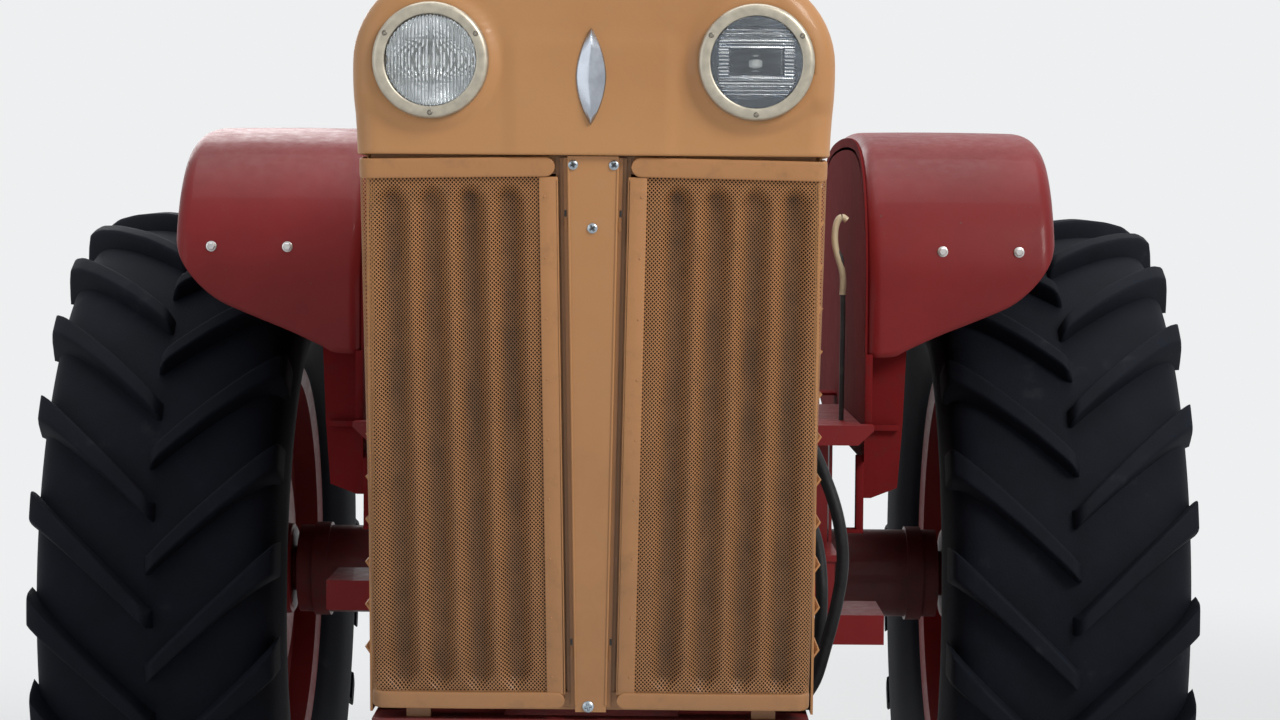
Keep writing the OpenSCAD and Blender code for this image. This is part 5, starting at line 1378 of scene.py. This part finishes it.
def cushion(name, solid, thin, top, lines, edge_seam):
    """One cushion in the place of a solid. thin is the axis of its thickness and top is +1 or -1
    along it, to the side that is sat on. Channels are bells 6 mm wide at the given x, and the
    border seam is one more at edge_seam from the outline. It is flat where it rests."""
    low, high = corners(solid)
    inset = np.full(3, 0.012)
    inset[thin] = 0.010
    mesh = finer(stuffed(name, pad_block(low + inset, high - inset, 0.016, thin)))
    p = points_of(mesh)
    mid, half = (low + high) / 2, (high - low) / 2
    wide, tall = [k for k in range(3) if k != thin]
    height = top * (p[:, thin] - mid[thin]) / half[thin]
    share = np.abs(p - mid) / half
    inside = 1 - (share[:, wide]**6 + share[:, tall]**6)**(1 / 6)
    room = inside * min(half[wide], half[tall])
    field = smoothstep(height / 0.35) * smoothstep((room - edge_seam + 0.012) / 0.012)
    press = np.exp(-((room - edge_seam) / 0.005)**2) * smoothstep(height / 0.35)
    for x in lines:
        press = np.maximum(press, field * np.exp(-((p[:, wide] - x) / 0.0055)**2))
    p[:, thin] -= top * (0.0085 * press - 0.004 * field * smoothstep(room / 0.16))
    rest = mid[thin] - top * half[thin]
    p[:, thin] = np.maximum(p[:, thin], rest) if top > 0 else np.minimum(p[:, thin], rest)
    mesh.vertices.foreach_set("co", p.ravel())
    ob = bpy.data.objects.new(name, mesh)
    bpy.context.scene.collection.objects.link(ob)
    mesh.materials.clear()
    mesh.materials.append(seat_vinyl)
    mesh.shade_smooth()
    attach(ob, "chassis")
    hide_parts(solid)
    made[name] = len(mesh.polygons)
    return ob


def vinyl(name, color, worn):
    """Coated cloth: pebbled by a fine cell pattern, creased by stretched noise, paler where it rubs."""
    mat, tree, shader, add = new_material(name)
    rubbed = grain(tree, add, 7.0, 7.0, 0.7)
    tone = ramp(tree, add, rubbed.outputs["Fac"], [(0.45, color), (0.62, scaled(color, 1.6)), (0.8, worn)])
    tree.links.new(tone.outputs["Color"], shader.inputs["Base Color"])
    shader.inputs["Roughness"].default_value = 0.42
    shader.inputs["Specular IOR Level"].default_value = 0.4
    cells = add("ShaderNodeTexVoronoi", Scale=520.0)
    tree.links.new(add("ShaderNodeTexCoord").outputs["Object"], cells.inputs["Vector"])
    soft = add("ShaderNodeMath", operation="MULTIPLY")
    soft.inputs[1].default_value = 0.25
    tree.links.new(cells.outputs["Distance"], soft.inputs[0])
    crease = grain(tree, add, 22.0, 5.0, 0.6, (1.0, 0.35, 1.0))
    bump(tree, add, shader, [soft.outputs[0], crease.outputs["Fac"]], 0.45, 0.0022)
    return mat


seat_vinyl = vinyl("seat_vinyl", (0.022, 0.021, 0.021), (0.12, 0.11, 0.10))
seat_pad = cushion("seat_pad", "seat_cushion", 2, 1, [-0.13, -0.065, 0.0, 0.065, 0.13], 0.042)
back_pad = cushion("back_pad", "seat_back", 1, -1, [-0.12, -0.04, 0.04, 0.12], 0.036)


def piping(ob, thin, level, r=0.0042):
    """A round cord laid on a cushion's side: rays from outside find the cover at a level."""
    tree = BVHTree.FromPolygons(points_of(ob.data).tolist(), [tuple(q.vertices) for q in ob.data.polygons])
    low, high = points_of(ob.data).min(0), points_of(ob.data).max(0)
    mid, half = (low + high) / 2, (high - low) / 2
    wide, tall = [k for k in range(3) if k != thin]
    line = []
    centre = mid.copy()
    centre[thin] = level
    for a in full_turn(160):
        out = np.zeros(3)
        out[[wide, tall]] = signed_power(np.array([np.cos(a), np.sin(a)]), corner_power) * half[[wide, tall]]
        hit = tree.ray_cast(Vector(centre + 2 * out), Vector(-out).normalized())[0]
        line.append(np.array(hit) + out / np.linalg.norm(out) * 0.4 * r)
    line = np.array(line)
    for _ in range(3):
        line = (np.roll(line, 1, 0) + 2 * line + np.roll(line, -1, 0)) / 4
    d = np.roll(line, -1, 0) - np.roll(line, 1, 0)
    d /= np.linalg.norm(d, axis=1, keepdims=True)
    up = np.zeros_like(line)
    up[:, thin] = 1.0
    return surface(line[:, None] + r * circles(np.cross(d, up), up, 8), True, True)


seat_top, back_front = corners("seat_cushion")[1][2], corners("seat_back")[0][1]
seat_rolls = join([piping(seat_pad, 2, seat_top - 0.020), piping(back_pad, 1, back_front + 0.022)])
piece("seat_rolls", seat_rolls, "chassis", seat_vinyl, crease=80)
print("cushion faces:", made["seat_pad"], made["back_pad"])

# %% [markdown]
# ## Hood openings
# The exhaust and the air pipe pass through the hood. Each opening gets a rubber grommet that
# follows the hood's rounded shoulder, and the tank's neck gets one on the flat top.

# %% Grommets
def hood_height(x):
    """Height of the hood at x: flat in the middle, a quarter circle at each shoulder."""
    over = np.clip(np.abs(x) - (hood_half - corner_r), 0, corner_r)
    return hood_top - corner_r + np.sqrt(corner_r**2 - over**2)


def grommet(x, y, r, bead=0.0065):
    """A rubber ring round an opening, its middle line on the hood."""
    a = full_turn(72)
    out = np.stack([np.cos(a), np.sin(a), 0 * a], -1)
    line = np.array([x, y, 0]) + r * out
    line[:, 2] = hood_height(line[:, 0]) + 0.001
    up = np.broadcast_to([0, 0, 1.0], out.shape)
    return surface(line[:, None] + bead * circles(out, up, 10), True, True)


pipe_low, pipe_high = corners("exhaust")
air_low, air_high = corners("air_intake")
pipe_y, air_y = (pipe_low[1] + pipe_high[1]) / 2, (air_low[1] + air_high[1]) / 2
neck_y = corners("dash_panel")[0][1] - 0.330
grommets = join([grommet(pipe_low[0] + 0.078, pipe_y, 0.0470), grommet(air_high[0] - 0.086, air_y, 0.0590),
                 grommet(0.0, neck_y, 0.0385)])
piece("grommets", grommets, "chassis", hose_rubber, crease=80)
print("openings in the hood at y", [round(v, 3) for v in (pipe_y, air_y, neck_y)])

# %% [markdown]
# ## Driver's place
# Three gauges sit in the dash behind chromed rims: black dials with pale ticks and a needle, and
# nothing written on them. The hooked hand lever has a sleeve of worn cream paint.

# %% Gauges and the hand lever
dash_low, dash_high = corners("dash_panel")
gauge_r, gauge_z = 0.047, 1.730


def hand(centre, degrees, inner, outer, ahead, thick):
    """A thin bar on a dial, at an angle and between two distances from the dial's middle."""
    a = math.radians(degrees)
    ways = gauge_r * np.array([inner, outer])[:, None] * [math.cos(a), 0, math.sin(a)]
    return tube(centre + ways + [0, ahead, 0], thick, 6)


def gauge(x, aim):
    """Rim, dial, ticks and needle of one round instrument that faces the driver."""
    r, centre, way = gauge_r, np.array([x, dash_high[1], gauge_z]), (0, 1, 0)
    rim = [(r, 0.0), (r, 0.003), (0.97 * r, 0.0045), (0.88 * r, 0.004), (0.84 * r, 0.001), (0.84 * r, 0.0)]
    dial = [(0.86 * r, 0.0002), (0.86 * r, 0.0012), (1e-4, 0.0012)]
    marks = [hand(centre, degrees, 0.66, 0.78, 0.0014, 0.0009) for degrees in np.linspace(-35, 215, 9)]
    marks.append(hand(centre, aim, -0.12, 0.62, 0.0022, 0.0011))
    marks.append(turned([(0.004, 0.001), (0.004, 0.004), (1e-4, 0.0045)], centre, way, 24))
    return turned_ring(curve(rim, 2), centre, way, 64), turned(dial, centre, way, 48), join(marks)


rims, dials, marks = zip(*[gauge(x, aim) for x, aim in ((-0.120, 140), (0.0, 96), (0.120, 60))])
dial_black = enamel("dial_black", (0.012, 0.012, 0.013), (0.009, 0.009, 0.009), (0.03, 0.03, 0.03), 0.35, 0.5,
                    peel=0.02, dusty=0.2)
cream_paint = enamel("cream_paint", (0.56, 0.45, 0.29), (0.45, 0.35, 0.22), (0.22, 0.17, 0.11), 0.4, 0.15)
piece("gauge_rims", join(rims), "chassis", chrome_plate)
piece("gauge_dials", join(dials), "chassis", dial_black)
piece("gauge_marks", join(marks), "chassis", cream_paint)
lever_y = dash_low[1] - 0.025
lever_line = [(x, lever_y, z) for x, z in ((0.443, 1.440), (0.443, 1.480), (0.429, 1.530), (0.427, 1.562),
                                           (0.432, 1.584), (0.441, 1.591), (0.450, 1.585))]
piece("lever_sleeve", tube(curve(lever_line, 6), 0.0064, 14), "chassis", cream_paint)
print("gauges at height", gauge_z, "and lever at y", round(lever_y, 3))

# %% [markdown]
# ## Steering hoses
# Two hoses run from the pump, past the grille's side, to the gear housing on the front frame. Their
# points are the same as the CAD's, in millimetres, with y counted from the front axle. Both ends of
# a hose are held: each sits in a bent steel sleeve, as such hoses have where they turn sharply,
# over a hexagon nut.

# %% Hoses, collars and nuts
hose_r, nut_r = 0.0085, 0.0130
sleeve_r, sleeve_long = 0.0100, 0.058
hose_points = {
    "long_hose": [
        (204, 290, 1150.4), (204, 290, 1156), (204, 290, 1162), (218, 232, 1222), (252, 130, 1290),
        (284, 50, 1282), (308, 4, 1232), (324, -18, 1180), (330, -24, 1125), (323, -24, 1070),
        (309, -18, 1010), (293, -4, 955), (268, 24, 926), (215, 62, 928), (140, 90, 938),
        (82, 94, 944), (54, 93, 936), (46, 92, 920), (46, 92, 913), (46, 92, 907)],
    "short_hose": [
        (204, 340, 1150.4), (204, 340, 1156), (204, 340, 1162), (225, 270, 1195), (268, 160, 1210),
        (298, 70, 1150), (306, 30, 1080), (300, 22, 1010), (280, 38, 962), (225, 90, 960),
        (130, 124, 964), (45, 128, 952), (16, 125, 938), (10, 124, 920), (10, 124, 913),
        (10, 124, 907)]}


def hose_line(name):
    """The hose's middle line in metres, smooth through its points."""
    return curve(np.array(hose_points[name]) / 1000 + [0, front_y, 0], 6)


def fitting(foot):
    """A hexagon nut that stands on foot, with the crimped collar above it round the hose."""
    nut = [(nut_r, 0.0), (nut_r, 0.0085)]
    collar = [(0.0108, 0.0080), (0.0112, 0.0095), (0.0112, 0.0135), (0.0104, 0.0150)]
    return join([turned(nut, foot, (0, 0, 1), 6), turned(collar, foot, (0, 0, 1), 24)])


def sleeve(line):
    """The bent sleeve along the hose's first stretch, from 8 mm off its end to the sleeve's length."""
    way = way_along(line)
    steps = np.linspace(0.008, sleeve_long, 12)
    middle = np.stack([np.interp(steps, way, line[:, k]) for k in range(3)], -1)
    return tube(middle, sleeve_r, 20)


lines = {name: hose_line(name) for name in hose_points}
sleeves = [sleeve(line[::turn]) for line in lines.values() for turn in (1, -1)]
feet = [line[end] for line in lines.values() for end in (0, -1)]
piece("hose_ends", join([fitting(foot) for foot in feet] + sleeves), "chassis", dull_steel,
      ("steering_hoses",), crease=30)
for name, line in lines.items():
    hose = piece(name, tube(line, hose_r, 14), "chassis", hose_rubber, ("steering_hoses",),
                 crease=80)
    length = way_along(line)[-1]
    print(name, "is", round(length, 3), "m long")

# %% [markdown]
# ## Finish
# The number of pieces made and of their faces is printed.

# %% Finish
print("pieces made:", len(made), "faces:", sum(made.values()))
